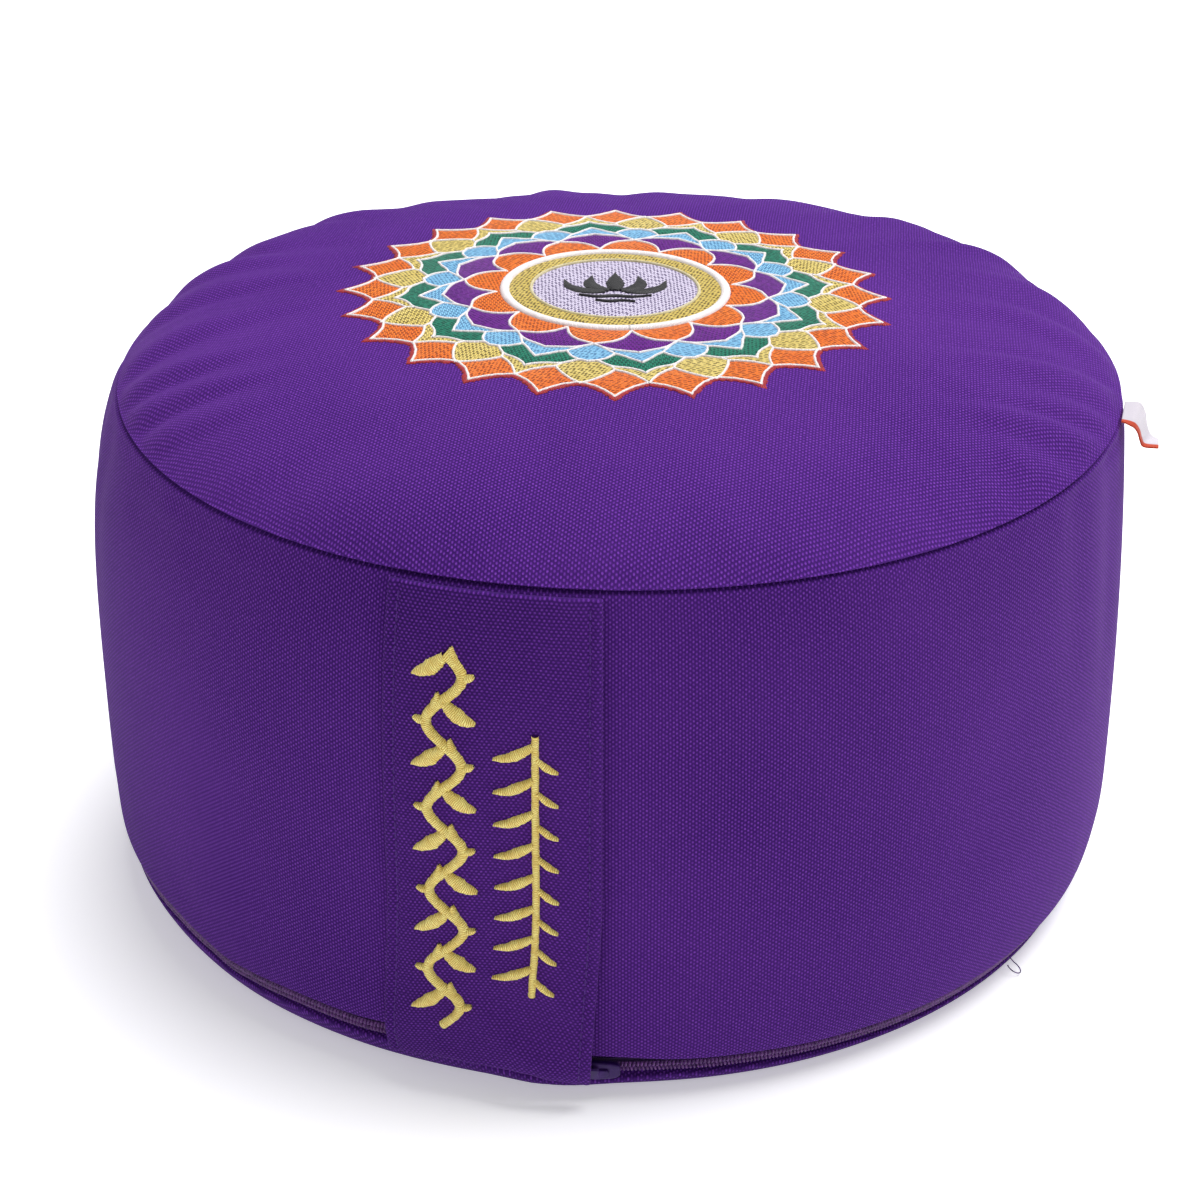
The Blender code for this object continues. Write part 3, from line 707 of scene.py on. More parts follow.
def dress(nodes, shader, colour, height, distance, roughness=None):
    """Feeds the shader its colour and its bump."""
    nodes.tree.links.new(colour, shader.inputs["Base Color"])
    relief = nodes.add("ShaderNodeBump", {"Height": height, "Distance": distance, "Strength": 1.0})
    nodes.tree.links.new(relief.outputs[0], shader.inputs["Normal"])
    if roughness is not None:
        nodes.tree.links.new(roughness, shader.inputs["Roughness"])


def canvas_material(name, cells, shades, weave, tone):
    """Purple canvas. cells(nodes) gives the weave's rib and thread counts over the surface."""
    deep, middle, light = (linear(*shade) for shade in shades)
    tint = linear(*CANVAS_SHEEN)
    material, nodes, shader = new_material(name, 0.88, sheen=0.10, sheen_tint=tint, specular=0.10)
    rib, thread = cells(nodes)
    woven = nodes.add("ShaderNodeGroup", {"Rib": rib, "Thread": thread}, node_tree=weave)
    toned = nodes.add("ShaderNodeGroup", {"Vector": nodes.place()}, node_tree=tone)
    # Painted shade in the weave's hollows and painted highlight on its crests; the slow tone and the lint are
    # the cloth's own.
    colour = nodes.mix(woven.outputs["Height"], deep, middle)
    crest_highlight = nodes.span(woven.outputs["Height"], 0.55, 1.0, 0.0, 0.9)
    colour = nodes.mix(crest_highlight, colour, light)
    colour = nodes.mix(nodes.times(toned.outputs["Tone"], 0.12), colour, light)
    colour = nodes.mix(nodes.times(toned.outputs["Lint"], 0.06), colour, light)
    dress(nodes, shader, colour, woven.outputs["Height"], CANVAS_RELIEF)
    return material


def thread_material(name, thread, pale, needle, holes, paleness, fill):
    """Filled stitching: shining rows of thread, painted darker on their flanks as shade, with needle holes
    between the stitches.
    """
    material, nodes, shader = new_material(name, 0.5, specular=0.22)
    inputs = {"Vector": nodes.place(), "Angle": nodes.value_at("grain")}
    stitched = nodes.add("ShaderNodeGroup", inputs, node_tree=fill)
    slow = nodes.span(nodes.noise(nodes.place(), 160.0, 2.0), 0.35, 0.65, paleness, paleness + 0.22)
    colour = nodes.between(slow, (thread, pale))
    # Painted shade on each row's rounded flanks, mixed towards the needle colour.
    edge = nodes.span(stitched.outputs["Sheen"], 0.3, 0.8, 0.35, 0.0)
    colour = nodes.mix(edge, colour, linear(*needle))
    colour = nodes.mix(nodes.times(stitched.outputs["Hole"], holes), colour, linear(*needle))
    dress(nodes, shader, colour, stitched.outputs["Height"], 0.0003)
    return material


def satin_material(name, pitch=SATIN_PITCH):
    """Satin stitch: threads side by side across the stroke, with painted highlight on their crests and
    painted shade between them.
    """
    thread, shade, roughness = SATINS[name]
    material, nodes, shader = new_material(name, roughness, sheen=0.1, specular=0.4)
    count = nodes.times(nodes.value_at("along"), 1 / pitch)
    wander = nodes.math("MULTIPLY_ADD", nodes.noise(nodes.place(), 900.0, 1.0), 1.2, count)
    wave = nodes.wave(nodes.times(wander, 2 * math.pi))
    crest_highlight = nodes.span(wave, -1.0, 0.4, 0.0, 1.0)
    lot = nodes.span(nodes.noise(nodes.place(), 420.0, 2.0), 0.35, 0.65, 0.55, 1.0)
    # Painted highlight on each thread's crest and painted shade between threads; the lot noise is the
    # thread's own.
    colour = nodes.between(nodes.times(crest_highlight, lot), (shade, thread))
    dress(nodes, shader, colour, crest_highlight, 0.00018)
    return material


def flat_cells(turn):
    """Weave counts straight across the top or base panel."""
    def cells(nodes):
        parts = nodes.parts(nodes.place(), -math.radians(turn))
        rib = nodes.times(parts[0], 1 / RIB_PITCH)
        return rib, nodes.times(parts[1], 1 / THREAD_PITCH)
    return cells


def round_cells(nodes):
    """Weave counts round the band and up it. An even count meets itself at the back."""
    parts = nodes.parts(nodes.place())
    ribs = 2 * round(math.pi * WIDEST_RADIUS / RIB_PITCH)
    rib = nodes.times(nodes.angle_round(parts), ribs / (2 * math.pi))
    return rib, nodes.times(parts[2], 1 / THREAD_PITCH)


def strap_cells(nodes):
    """The strap is cut across the cloth, so its ribs lie level."""
    rib = nodes.times(nodes.value_at("down"), 1 / RIB_PITCH)
    return rib, nodes.times(nodes.value_at("over"), 1 / THREAD_PITCH)


# The cover

def cover_rings():
    """(radius, height) of the even form's rings: the top panel's, the band's and the base panel's.

    Neighbouring panels share the ring where they are sewn together.
    """
    shares = [1 - (1 - step / CROWN_STEPS) ** CROWN_SPREAD for step in range(1, CROWN_STEPS)]
    groove = (TOP_SEAM_RADIUS - SEAM_DEPTH, TOP_SEAM_HEIGHT - 0.2 * SEAM_EDGE)
    top = [(TOP_SEAM_RADIUS * share, crown_height(share)) for share in shares]
    top += [(TOP_SEAM_RADIUS - 0.0002, TOP_SEAM_HEIGHT + 0.8 * SEAM_EDGE)]
    top += [(TOP_SEAM_RADIUS - 0.0008, TOP_SEAM_HEIGHT + 0.2 * SEAM_EDGE), groove]
    high = TOP_SEAM_HEIGHT - 1.2 * SEAM_EDGE
    low = EVEN_SEAM_HEIGHT + LIP
    spread = [0.5 - 0.5 * math.cos(math.pi * step / BAND_STEPS) for step in range(BAND_STEPS + 1)]
    heights = [high + (low - high) * share for share in spread]
    band = [groove] + [(float(band_radius(height)), height) for height in heights]

    def by_seam(inset, rise):
        height = EVEN_SEAM_HEIGHT + rise
        return (float(band_radius(height)) - inset, height)

    half = CHANNEL_HALF_HEIGHT
    band += [by_seam(LIP_ROUND * 0.7, half + LIP_ROUND * 0.3), by_seam(CHANNEL_DEPTH, half)]
    base = [by_seam(CHANNEL_DEPTH, half), by_seam(CHANNEL_DEPTH, -half)]
    base += [by_seam(LIP_ROUND * 0.7, -half - LIP_ROUND * 0.3), by_seam(0, -LIP)]
    base += [(float(band_radius(height)), height) for height in EDGE_HEIGHTS]
    base += [(REST_RADIUS * share, 0.0) for share in (1, 0.97, 0.75, 0.4)]
    return top, band, base


def ring_grid(rings):
    """Settled points of these rings, one row each."""
    azimuth = np.arange(TURN_STEPS) * 360 / TURN_STEPS
    radius, height = np.array(rings).T[:, :, None]
    return settled(*np.broadcast_arrays(azimuth[None, :], radius, height))


def closed_cover(grid, name):
    """The whole cover as one closed mesh of rings, with a point in the middle of its crown and its base."""
    cover = Joined()
    cover.add_grid(grid, closed=True)
    cover.add_fan(np.arange(TURN_STEPS), grid[0].mean(0) + UP * TIP_RISE)
    cover.add_fan((len(grid) - 1) * TURN_STEPS + np.arange(TURN_STEPS), (0, 0, 0), flip=True)
    return cover.mesh(name)


def filled(grid, sewn):
    """The rings after the filling has pressed them out. sewn says how firmly each ring is held, 0 to 1."""
    mesh = closed_cover(grid, "filling_cover")
    normals = np.empty(len(mesh.vertices) * 3, np.float32)
    mesh.vertex_normals.foreach_get("vector", normals)
    count = grid.shape[0] * grid.shape[1]
    start = coordinates(mesh)
    held = np.append(np.repeat(sewn, TURN_STEPS), (0, 1))
    start -= normals.reshape(-1, 3) * (SLACK_START * (1 - held))[:, None]
    set_coordinates(mesh, start)
    cover = bpy.data.objects.new("filling_cover", mesh)
    bpy.context.scene.collection.objects.link(cover)
    group = cover.vertex_groups.new(name="sewn")
    for level in np.unique(held):
        group.add(np.flatnonzero(held == level).tolist(), float(level), "REPLACE")
    cloth = cover.modifiers.new("filling", "CLOTH").settings
    for key, value in CLOTH_SETTINGS.items():
        setattr(cloth, key, value)
    cloth.vertex_group_mass = "sewn"
    cloth.effector_weights.gravity = 0
    scene = bpy.context.scene
    for step in range(1, FILL_FRAMES + 1):
        scene.frame_set(step)
    graph = bpy.context.evaluated_depsgraph_get()
    pressed = bpy.data.meshes.new_from_object(cover.evaluated_get(graph))
    moved = coordinates(pressed)[:count].reshape(grid.shape)
    bpy.data.objects.remove(cover)
    scene.frame_set(1)
    shift = (moved - grid) * SWELL_SHARE
    far = np.linalg.norm(shift, axis=-1, keepdims=True)
    shift = shift * np.minimum(1, SWELL_CAP / np.maximum(far, 1e-9))
    calm = smooth(*STRAP_CALM, np.abs(azimuth_of(grid)))
    side = grid[..., 2] < TOP_SEAM_HEIGHT
    shift = shift * np.where(side, calm, CROWN_SWELL_SHARE / SWELL_SHARE)[..., None]
    return grid + shift * (1 - np.asarray(sewn))[:, None, None]


def make_cover(weave, tone):
    """Top panel, side band and base panel of purple canvas, filled tight and sewn into each other."""
    top, band, base = cover_rings()
    rings = top + band[1:] + base[1:]
    grid = ring_grid(rings)
    seam = len(top) - 1
    base_seam = len(top) + len(band) - 2
    sewn = np.zeros(len(rings))
    sewn[seam - 2:seam + 3] = SEWN_TOP
    sewn[base_seam - 6:base_seam - 4] = SEWN_LOW
    sewn[base_seam - 4:] = 1
    grid = filled(grid, sewn)
    azimuths = np.arange(TURN_STEPS)
    spans = {
        "top_panel": (grid[:len(top)], flat_cells(TOP_WEAVE_TURN)),
        "side_band": (grid[len(top) - 1:len(top) + len(band) - 1], round_cells),
        "base_panel": (grid[len(top) + len(band) - 2:], flat_cells(0)),
    }
    pieces = {}
    for name, (rows, cells) in spans.items():
        panel = Joined()
        panel.add_grid(rows, closed=True)
        if name == "top_panel":
            panel.add_fan(azimuths, rows[0].mean(0) + UP * TIP_RISE)
        if name == "base_panel":
            panel.add_fan((len(rows) - 1) * TURN_STEPS + azimuths, (0, 0, 0), flip=True)
        mesh = refined(panel.mesh(name), 1 if name == "base_panel" else 2)
        points = coordinates(mesh)
        azimuth = azimuth_of(points)
        radius = np.hypot(points[:, 0], points[:, 1])
        if name == "top_panel":
            even = radius / (1 + seam_shift(azimuth) / TOP_SEAM_RADIUS)
            points[:, 2] += ripples(azimuth, even) * smooth(0.0004, 0.004, TOP_SEAM_RADIUS - even)
            points[:, 2] += settling(points)
        if name == "base_panel":
            swell = LIP_BULGE * bump(turn_between(azimuth, LIP_BULGE_AZIMUTH) / LIP_BULGE_HALF_WIDTH)
            swell = swell * (1 - smooth(*LIP_BULGE_FADE, points[:, 2]))
            swell = swell * smooth(0.0004, 0.0016, points[:, 2])
            points[:, :2] *= (1 + swell / np.maximum(radius, 0.01))[:, None]
        if name == "side_band":
            sink = 1 - pleats(azimuth, points[:, 2]) / radius
            points[:, :2] *= sink[:, None]
        set_coordinates(mesh, points)
        pieces[name] = add_piece(name, mesh, canvas_material(name, cells, COVER_SHADED_AND_LIT, weave, tone))
        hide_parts("cushion")
    return pieces


# Thread laid on cloth

class Crown:
    """The top panel's surface over the rosette, read from its finished mesh."""

    STEP, HALF = 0.0020, 0.092

    def __init__(self, panel):
        tree = BVHTree.FromPolygons([tuple(point) for point in coordinates(panel.data)],
                                    [tuple(face.vertices) for face in panel.data.polygons])
        self.axis = np.arange(-self.HALF, self.HALF + self.STEP, self.STEP)
        down = Vector((0, 0, -1))
        self.height = np.array([
            [tree.ray_cast(Vector((x, y, 1)), down)[0].z for y in self.axis] for x in self.axis
        ])
        slope_x, slope_y = np.gradient(self.height, self.STEP)
        self.slopes = (slope_x, slope_y)

    def read(self, table, x, y):
        column = np.clip((x + self.HALF) / self.STEP, 0, len(self.axis) - 1.001)
        row = np.clip((y + self.HALF) / self.STEP, 0, len(self.axis) - 1.001)
        i, j = column.astype(int), row.astype(int)
        u, v = column - i, row - j
        near = table[i, j] * (1 - v) + table[i, j + 1] * v
        far = table[i + 1, j] * (1 - v) + table[i + 1, j + 1] * v
        return near * (1 - u) + far * u

    def lay(self, flat, lift):
        """Points this far over the cloth at these x, y."""
        x, y = flat[..., 0], flat[..., 1]
        slope_x, slope_y = (self.read(slope, x, y) for slope in self.slopes)
        normal = np.stack([-slope_x, -slope_y, np.ones_like(x)], -1)
        normal /= np.linalg.norm(normal, axis=-1, keepdims=True)
        here = np.stack([x, y, self.read(self.height, x, y)], -1)
        return here + normal * np.broadcast_to(lift, x.shape)[..., None]


def distances(path):
    """How far along the path each of its points lies."""
    return np.append(0, np.cumsum(np.linalg.norm(np.diff(path, axis=0), axis=1)))


def resampled(path, step):
    """The path with its points this far apart, its two ends kept."""
    length = distances(path)
    count = max(2, int(round(length[-1] / step)) + 1)
    at = np.linspace(0, length[-1], count)
    return np.stack([np.interp(at, length, path[:, axis]) for axis in (0, 1)], -1)


def sideways(path, closed):
    """Unit-wide steps to the right of the path, mitred at its corners."""
    if closed:
        ahead = np.roll(path, -1, 0) - path
        behind = path - np.roll(path, 1, 0)
    else:
        ahead = np.append(np.diff(path, axis=0), path[-1:] - path[-2:-1], 0)
        behind = np.append(path[1:2] - path[:1], np.diff(path, axis=0), 0)
    ahead = ahead / np.linalg.norm(ahead, axis=1, keepdims=True)
    behind = behind / np.linalg.norm(behind, axis=1, keepdims=True)
    middle = ahead + behind
    middle /= np.maximum(np.linalg.norm(middle, axis=1, keepdims=True), 1e-9)
    cosine = np.clip((middle * ahead).sum(1, keepdims=True), 0.62, 1)
    return np.stack([middle[:, 1], -middle[:, 0]], -1) / cosine


SATIN_PROFILE = (  # share of the width, share of the lift
    (-0.5, -0.15), (-0.43, 0.45), (-0.22, 0.92), (0, 1.0), (0.22, 0.92), (0.43, 0.45), (0.5, -0.15),
)


def satin(joined, path, width, lift, lay, dice, jag, closed=False):
    """A raised band of satin stitches along a path, its edges as uneven as the stitches' ends."""
    right = sideways(path, closed)
    count = len(path)
    width = np.broadcast_to(width, (count,))
    share, rise = np.array(SATIN_PROFILE).T
    uneven = 1 + jag * dice.uniform(-1, 1, (2, count))
    reach = np.where(share[None, :] < 0, uneven[0][:, None], uneven[1][:, None]) * share[None, :]
    flat = path[:, None, :] + right[:, None, :] * (reach * width[:, None])[..., None]
    low = np.broadcast_to(lift, (count,))[:, None]
    grid = lay(flat, low * rise[None, :])[:, ::-1]
    length = distances(path)
    if closed:
        joined.add_grid(np.swapaxes(grid, 0, 1)[::-1], closed=True, along=length[None, :])
    else:
        joined.add_grid(grid, along=length[:, None])


# The rosette

def edge_share(name, turn):
    """The petals' outer edge at this turn from a purple petal's middle, as a share of the radius."""
    folded = np.abs((turn + PETAL_TURN / 2) % PETAL_TURN - PETAL_TURN / 2)
    return np.interp(folded, *zip(*EDGES[name]))


def on_rosette(turn, share):
    """x, y of a point of the rosette."""
    angle = np.radians(turn + ROSETTE_TURN)
    radius = share * ROSETTE_RADIUS
    across, back = radius * np.sin(angle) * ROSETTE_STRETCH, -radius * np.cos(angle)
    return np.stack([ROSETTE_CENTRE[0] + across, ROSETTE_CENTRE[1] + back], -1)


def edge_path(name, step, outward=0.0):
    """The whole of one petal edge, its corners kept, as x, y."""
    parts = []
    for corner in np.arange(0, 360, PETAL_TURN / 4):
        turn = np.linspace(corner, corner + PETAL_TURN / 4, 16)
        part = on_rosette(turn, edge_share(name, turn))
        parts.append(resampled(part, step)[:-1])
    path = np.concatenate(parts)
    return path + sideways(path, True) * outward


def petal_fill(joined, inner, outer, cell, lean_angle, lay):
    """Rounded fill between two petal edges; each cell's thread runs at its own angle."""
    turn = np.arange(0, 360 + TURN_STEP / 2, TURN_STEP)
    low, high = edge_share(inner, turn), edge_share(outer, turn)
    share = np.array([0, 0.06, 0.2, 0.4, 0.6, 0.8, 0.94, 1])[:, None]
    radius = low + (high - low) * share
    flat = on_rosette(turn[None, :], radius)
    deep = np.minimum(1, (high - low) * ROSETTE_RADIUS / 0.003)
    lift = FILL_LIFT * (1 - np.abs(2 * share - 1) ** 4 * 0.9) * (0.4 + 0.6 * deep)
    middle = np.round((turn - cell[0]) / cell[1]) * cell[1] + cell[0]
    grain = np.radians(middle + ROSETTE_TURN + lean_angle)
    grid = lay(flat, lift)
    thick = np.minimum(high - low, np.roll(high - low, -1)) * ROSETTE_RADIUS
    runs = np.flatnonzero(thick[:-1] > 0.00012)
    for run in np.split(runs, np.flatnonzero(np.diff(runs) > 1) + 1):
        columns = np.append(run, run[-1] + 1)
        joined.add_grid(grid[:, columns], grain=grain[None, columns])


def round_fill(joined, low, high, rows, lay, grain):
    """Rounded fill between two circles of the rosette."""
    turn = np.arange(0, 360, 2.0)
    share = np.linspace(0, 1, rows)[:, None]
    flat = on_rosette(turn[None, :], np.maximum(low + (high - low) * share, 0.0005))
    edge = np.minimum(1, 6 * (1 - share)) if low == 0 else 1 - np.abs(2 * share - 1) ** 4 * 0.85
    joined.add_grid(lay(flat, FILL_LIFT * np.broadcast_to(edge, flat.shape[:2])), closed=True,
                    grain=grain)


def make_rosette(lay, fill):
    """The lotus rosette: rings and petals of filled stitching between raised white outlines."""
    dice = np.random.default_rng(7)
    fills = {name: Joined() for name in THREADS}
    for name, *row in PETAL_ROWS:
        petal_fill(fills[name], *row, lay)
    round_fill(fills["gold"], *GOLD_RING, 7, lay, 0.5)
    round_fill(fills["lilac"], *LILAC_DISC, 16, lay, 0.15)
    made = [("rosette_" + name, joined, thread_material(name + "_thread", *THREADS[name], fill))
            for name, joined in fills.items()]

    white = Joined()
    for name in ("inner", "purple", "blue", "green", "yellow", "outer"):
        path = edge_path(name, THREAD_STEP)
        satin(white, path, OUTLINE_WIDTH, OUTLINE_LIFT, lay, dice, OUTLINE_JAG, closed=True)
    for turn in np.arange(0, 360, PETAL_TURN):
        for edge in SHORT_EDGES:
            for side in (-1, 1):
                points = on_rosette(*np.array([(turn + side * row[0], row[1]) for row in edge]).T)
                path = resampled(points, THREAD_STEP)
                satin(white, path, OUTLINE_WIDTH, OUTLINE_LIFT, lay, dice, OUTLINE_JAG)
    turn = np.arange(0, 360, 0.72)

    def ring(joined, name):
        share, width, lift, jag = RINGS[name]
        satin(joined, on_rosette(turn, share), width, lift, lay, dice, jag, closed=True)

    ring(white, "white")
    cream, red = Joined(), Joined()
    ring(cream, "cream")
    path = edge_path("outer", THREAD_STEP * 1.2, outward=EDGING_OUTWARD)
    satin(red, path, EDGING_WIDTH, EDGING_LIFT, lay, dice, EDGING_JAG, closed=True)
    made += [
        ("rosette_outlines", white, satin_material("white_satin")),
        ("rosette_inner_ring", cream, satin_material("cream_satin")),
        ("rosette_edging", red, satin_material("red_satin")),
    ]
    for name, joined, material in made:
        add_piece(name, joined.mesh(name), material)


LOTUS_STROKES = (  # x, y in shares of the emblem's half width, then the widths at start, middle and end
    ((0.0, -0.22), (0.0, 0.08), (0.0, 0.38), (0.0, 0.70), (0.16, 0.40, 0.02)),
    ((-0.10, -0.22), (-0.36, -0.04), (-0.47, 0.20), (-0.42, 0.52), (0.12, 0.34, 0.02)),
    ((0.10, -0.22), (0.36, -0.04), (0.47, 0.20), (0.42, 0.52), (0.12, 0.34, 0.02)),
    ((-0.18, -0.28), (-0.54, -0.22), (-0.82, -0.02), (-0.94, 0.30), (0.08, 0.30, 0.02)),
    ((0.18, -0.28), (0.54, -0.22), (0.82, -0.02), (0.94, 0.30), (0.08, 0.30, 0.02)),
    ((-0.66, -0.44), (-0.32, -0.52), (0.0, -0.48), (0.32, -0.52), (0.66, -0.44), (0.03, 0.12, 0.03)),
    ((-0.36, -0.70), (-0.12, -0.75), (0.12, -0.71), (0.36, -0.76), (0.03, 0.10, 0.03)),
)
EMBLEM_HALF_WIDTH, EMBLEM_TURN, EMBLEM_LIFT = 0.0170, 11.5, 0.0011
STROKE_SHARES = (0, 0.2, 0.45, 0.75, 1)  # of a stroke's length, where its widths are given


def curve_through(points, count=40):
    """A smooth path through these points."""
    points = np.asarray(points, float)
    padded = np.concatenate([2 * points[:1] - points[1:2], points, 2 * points[-1:] - points[-2:-1]])
    parts = []
    share = np.linspace(0, 1, count, endpoint=False)[:, None]
    for a, b, c, d in zip(padded, padded[1:], padded[2:], padded[3:]):
        parts.append(0.5 * (2 * b + (c - a) * share + (2 * a - 5 * b + 4 * c - d) * share**2
                            + (3 * b - a - 3 * c + d) * share**3))
    return np.concatenate(parts + [points[-1:]])


def make_emblem(lay):
    """A plain black lotus flower over water, in satin stitch, in the middle of the rosette."""
    dice = np.random.default_rng(11)
    emblem = Joined()
    angle = math.radians(EMBLEM_TURN)
    for *points, widths in LOTUS_STROKES:
        path = curve_through(points) * EMBLEM_HALF_WIDTH
        x, y = path.T
        turned = [x * math.cos(angle) - y * math.sin(angle), x * math.sin(angle) + y * math.cos(angle)]
        path = resampled(np.stack(turned, -1) + ROSETTE_CENTRE, THREAD_STEP)
        start, widest, end = widths
        profile = (start, 0.82 * widest, widest, 0.66 * widest, end)
        width = np.interp(np.linspace(0, 1, len(path)), STROKE_SHARES, profile) * EMBLEM_HALF_WIDTH
        satin(emblem, path, width, EMBLEM_LIFT, lay, dice, 0.05)
    piece = add_piece("rosette_emblem", emblem.mesh("rosette_emblem"),
                      satin_material("black_satin"))


# Folded cloth: the strap and the label

def cloth_shell(name, place, across_steps, along_steps, thickness, size):
    """A closed shell round a sheet. place(across, along, out) gives points, with the shares 0 to 1."""
    width, length = size
    half = thickness / 2
    edge = np.array([0, 0.3, 1]) * half / width
    front = np.concatenate([edge, np.linspace(edge[-1], 1 - edge[-1], across_steps)[1:-1], 1 - edge[::-1]])
    rise = np.concatenate([(0, 0.72, 1), np.ones(across_steps - 2), (1, 0.72, 0)])
    share = np.concatenate([front, front[::-1][1:-1]])
    out = np.concatenate([rise, -rise[::-1][1:-1]])
    end = np.array([0, 0.3, 1]) * half / length
    along = np.concatenate([end, np.linspace(end[-1], 1 - end[-1], along_steps)[1:-1], 1 - end[::-1]])
    close = np.concatenate([(0, 0.72, 1), np.ones(along_steps - 2), (1, 0.72, 0)])
    across, down = np.broadcast_arrays(share[None, :], along[:, None])
    shell = Joined()
    shell.add_grid(place(across, down, out[None, :] * close[:, None] * half), closed=True,
                   over=across * width, down=down * length, face=np.sign(out)[None, :] * close[:, None])
    mesh = shell.mesh(name)
    work = bmesh.new()
    work.from_mesh(mesh)
    bmesh.ops.remove_doubles(work, verts=work.verts, dist=0.000002)
    work.to_mesh(mesh)
    work.free()
    mesh.shade_smooth()
    return mesh


def strap_folds(across, height):
    """Soft slanting folds of the strap, low down at its right."""
    total = 0
    place = np.stack(np.broadcast_arrays(across * STRAP_WIDTH, height), -1)
    for x0, z0, x1, z1, half_width, rise in STRAP_SOFT_FOLDS:
        start, run = np.array((x0, z0)), np.array((x1 - x0, z1 - z0))
        share = np.clip(((place - start) * run).sum(-1) / (run * run).sum(), 0, 1)
        gap = np.linalg.norm(place - start - share[..., None] * run, axis=-1)
        total = total + rise * bump(gap / half_width)
    return total


def strap_place(across, along, out):
    """A point of the strap, this far out of its middle layer."""
    foot = from_rows(STRAP_FOOT_ROWS, across)
    height = STRAP_TOP + (foot - STRAP_TOP) * along
    turn = np.degrees((across - 0.5) * STRAP_WIDTH / WIDEST_RADIUS)
    azimuth = from_rows(STRAP_SLANT_ROWS, height) + turn
    hanging = 1 - smooth(TOP_SEAM_HEIGHT - STRAP_TOP_FADE, TOP_SEAM_HEIGHT, height)
    lift = STRAP_EDGE_GAP * smooth(1 - STRAP_EDGE_SHARE, 1, across) * hanging
    over_pull = smooth(STRAP_PULL_START, STRAP_PULL_FULL, across)
    lift = lift + STRAP_PULL_BULGE * over_pull * bump((height - STRAP_PULL_HEIGHT) / STRAP_PULL_SPREAD)
    lift = (lift + strap_folds(across, height)) * smooth(0, STRAP_HUG_HEIGHT, height)
    return on_cover(azimuth, height, STRAP_REST_GAP + STRAP_THICKNESS / 2 + lift + out)


def strap_sink(across):
    """How far the topstitching draws the strap's face in."""
    inset = np.minimum(across, 1 - across) * STRAP_WIDTH
    return STRAP_STITCH_SINK * bump((inset - STRAP_STITCH_INSET) / STRAP_STITCH_WIDTH)


def strap_lay(flat, lift):
    """Points this far over the strap's face, at these metres from its left edge and its top."""
    across, along = flat[..., 0] / STRAP_WIDTH, flat[..., 1] / STRAP_LENGTH
    return strap_place(across, along, STRAP_THICKNESS / 2 - strap_sink(across) + lift)


VINE_MIDDLE, VINE_SWAY, VINE_WAVE = 0.0181, 0.0050, 0.02637
VINE_START, VINE_END, VINE_WIDTH, VINE_REACH = 0.01716, 0.13578, 0.0031, 0.0083
STEM_ACROSS, STEM_START, STEM_END, STEM_WIDTH = 0.0431, 0.03833, 0.12255, 0.0021
LEAF = ((0.0, 0.0), (0.30, -0.06), (0.68, 0.02), (1.0, 0.34))  # along and across its own length
LEAF_SHARES, LEAF_WIDTHS = (0, 0.15, 0.5, 0.85, 1), (0.45, 0.7, 1, 0.6, 0.15)
BIG_LEAF_LENGTH, BIG_LEAF_WIDTH = 0.0104, 0.0048
BUD_HEADING, BUD_LENGTH, BUD_WIDTH = 100, 0.0036, 0.0026
SMALL_LEAF_HEADING, SMALL_LEAF_LENGTH, SMALL_LEAF_WIDTH = 150, 0.0062, 0.0027
FROND_STEP = 0.0102
FRONDS = (  # from the stem's middle across and down, heading, length, side, width
    (-0.0004, 0.0, -56, 0.0118, -1, 0.0034),
    (0.0004, 0.004, 52, 0.0066, 1, 0.0024),
)
EMBROIDERY_LIFT, EMBROIDERY_JAG = 0.0012, 0.08
TOPSTITCH_PITCH, TOPSTITCH_MARGIN = 0.0029, 0.003


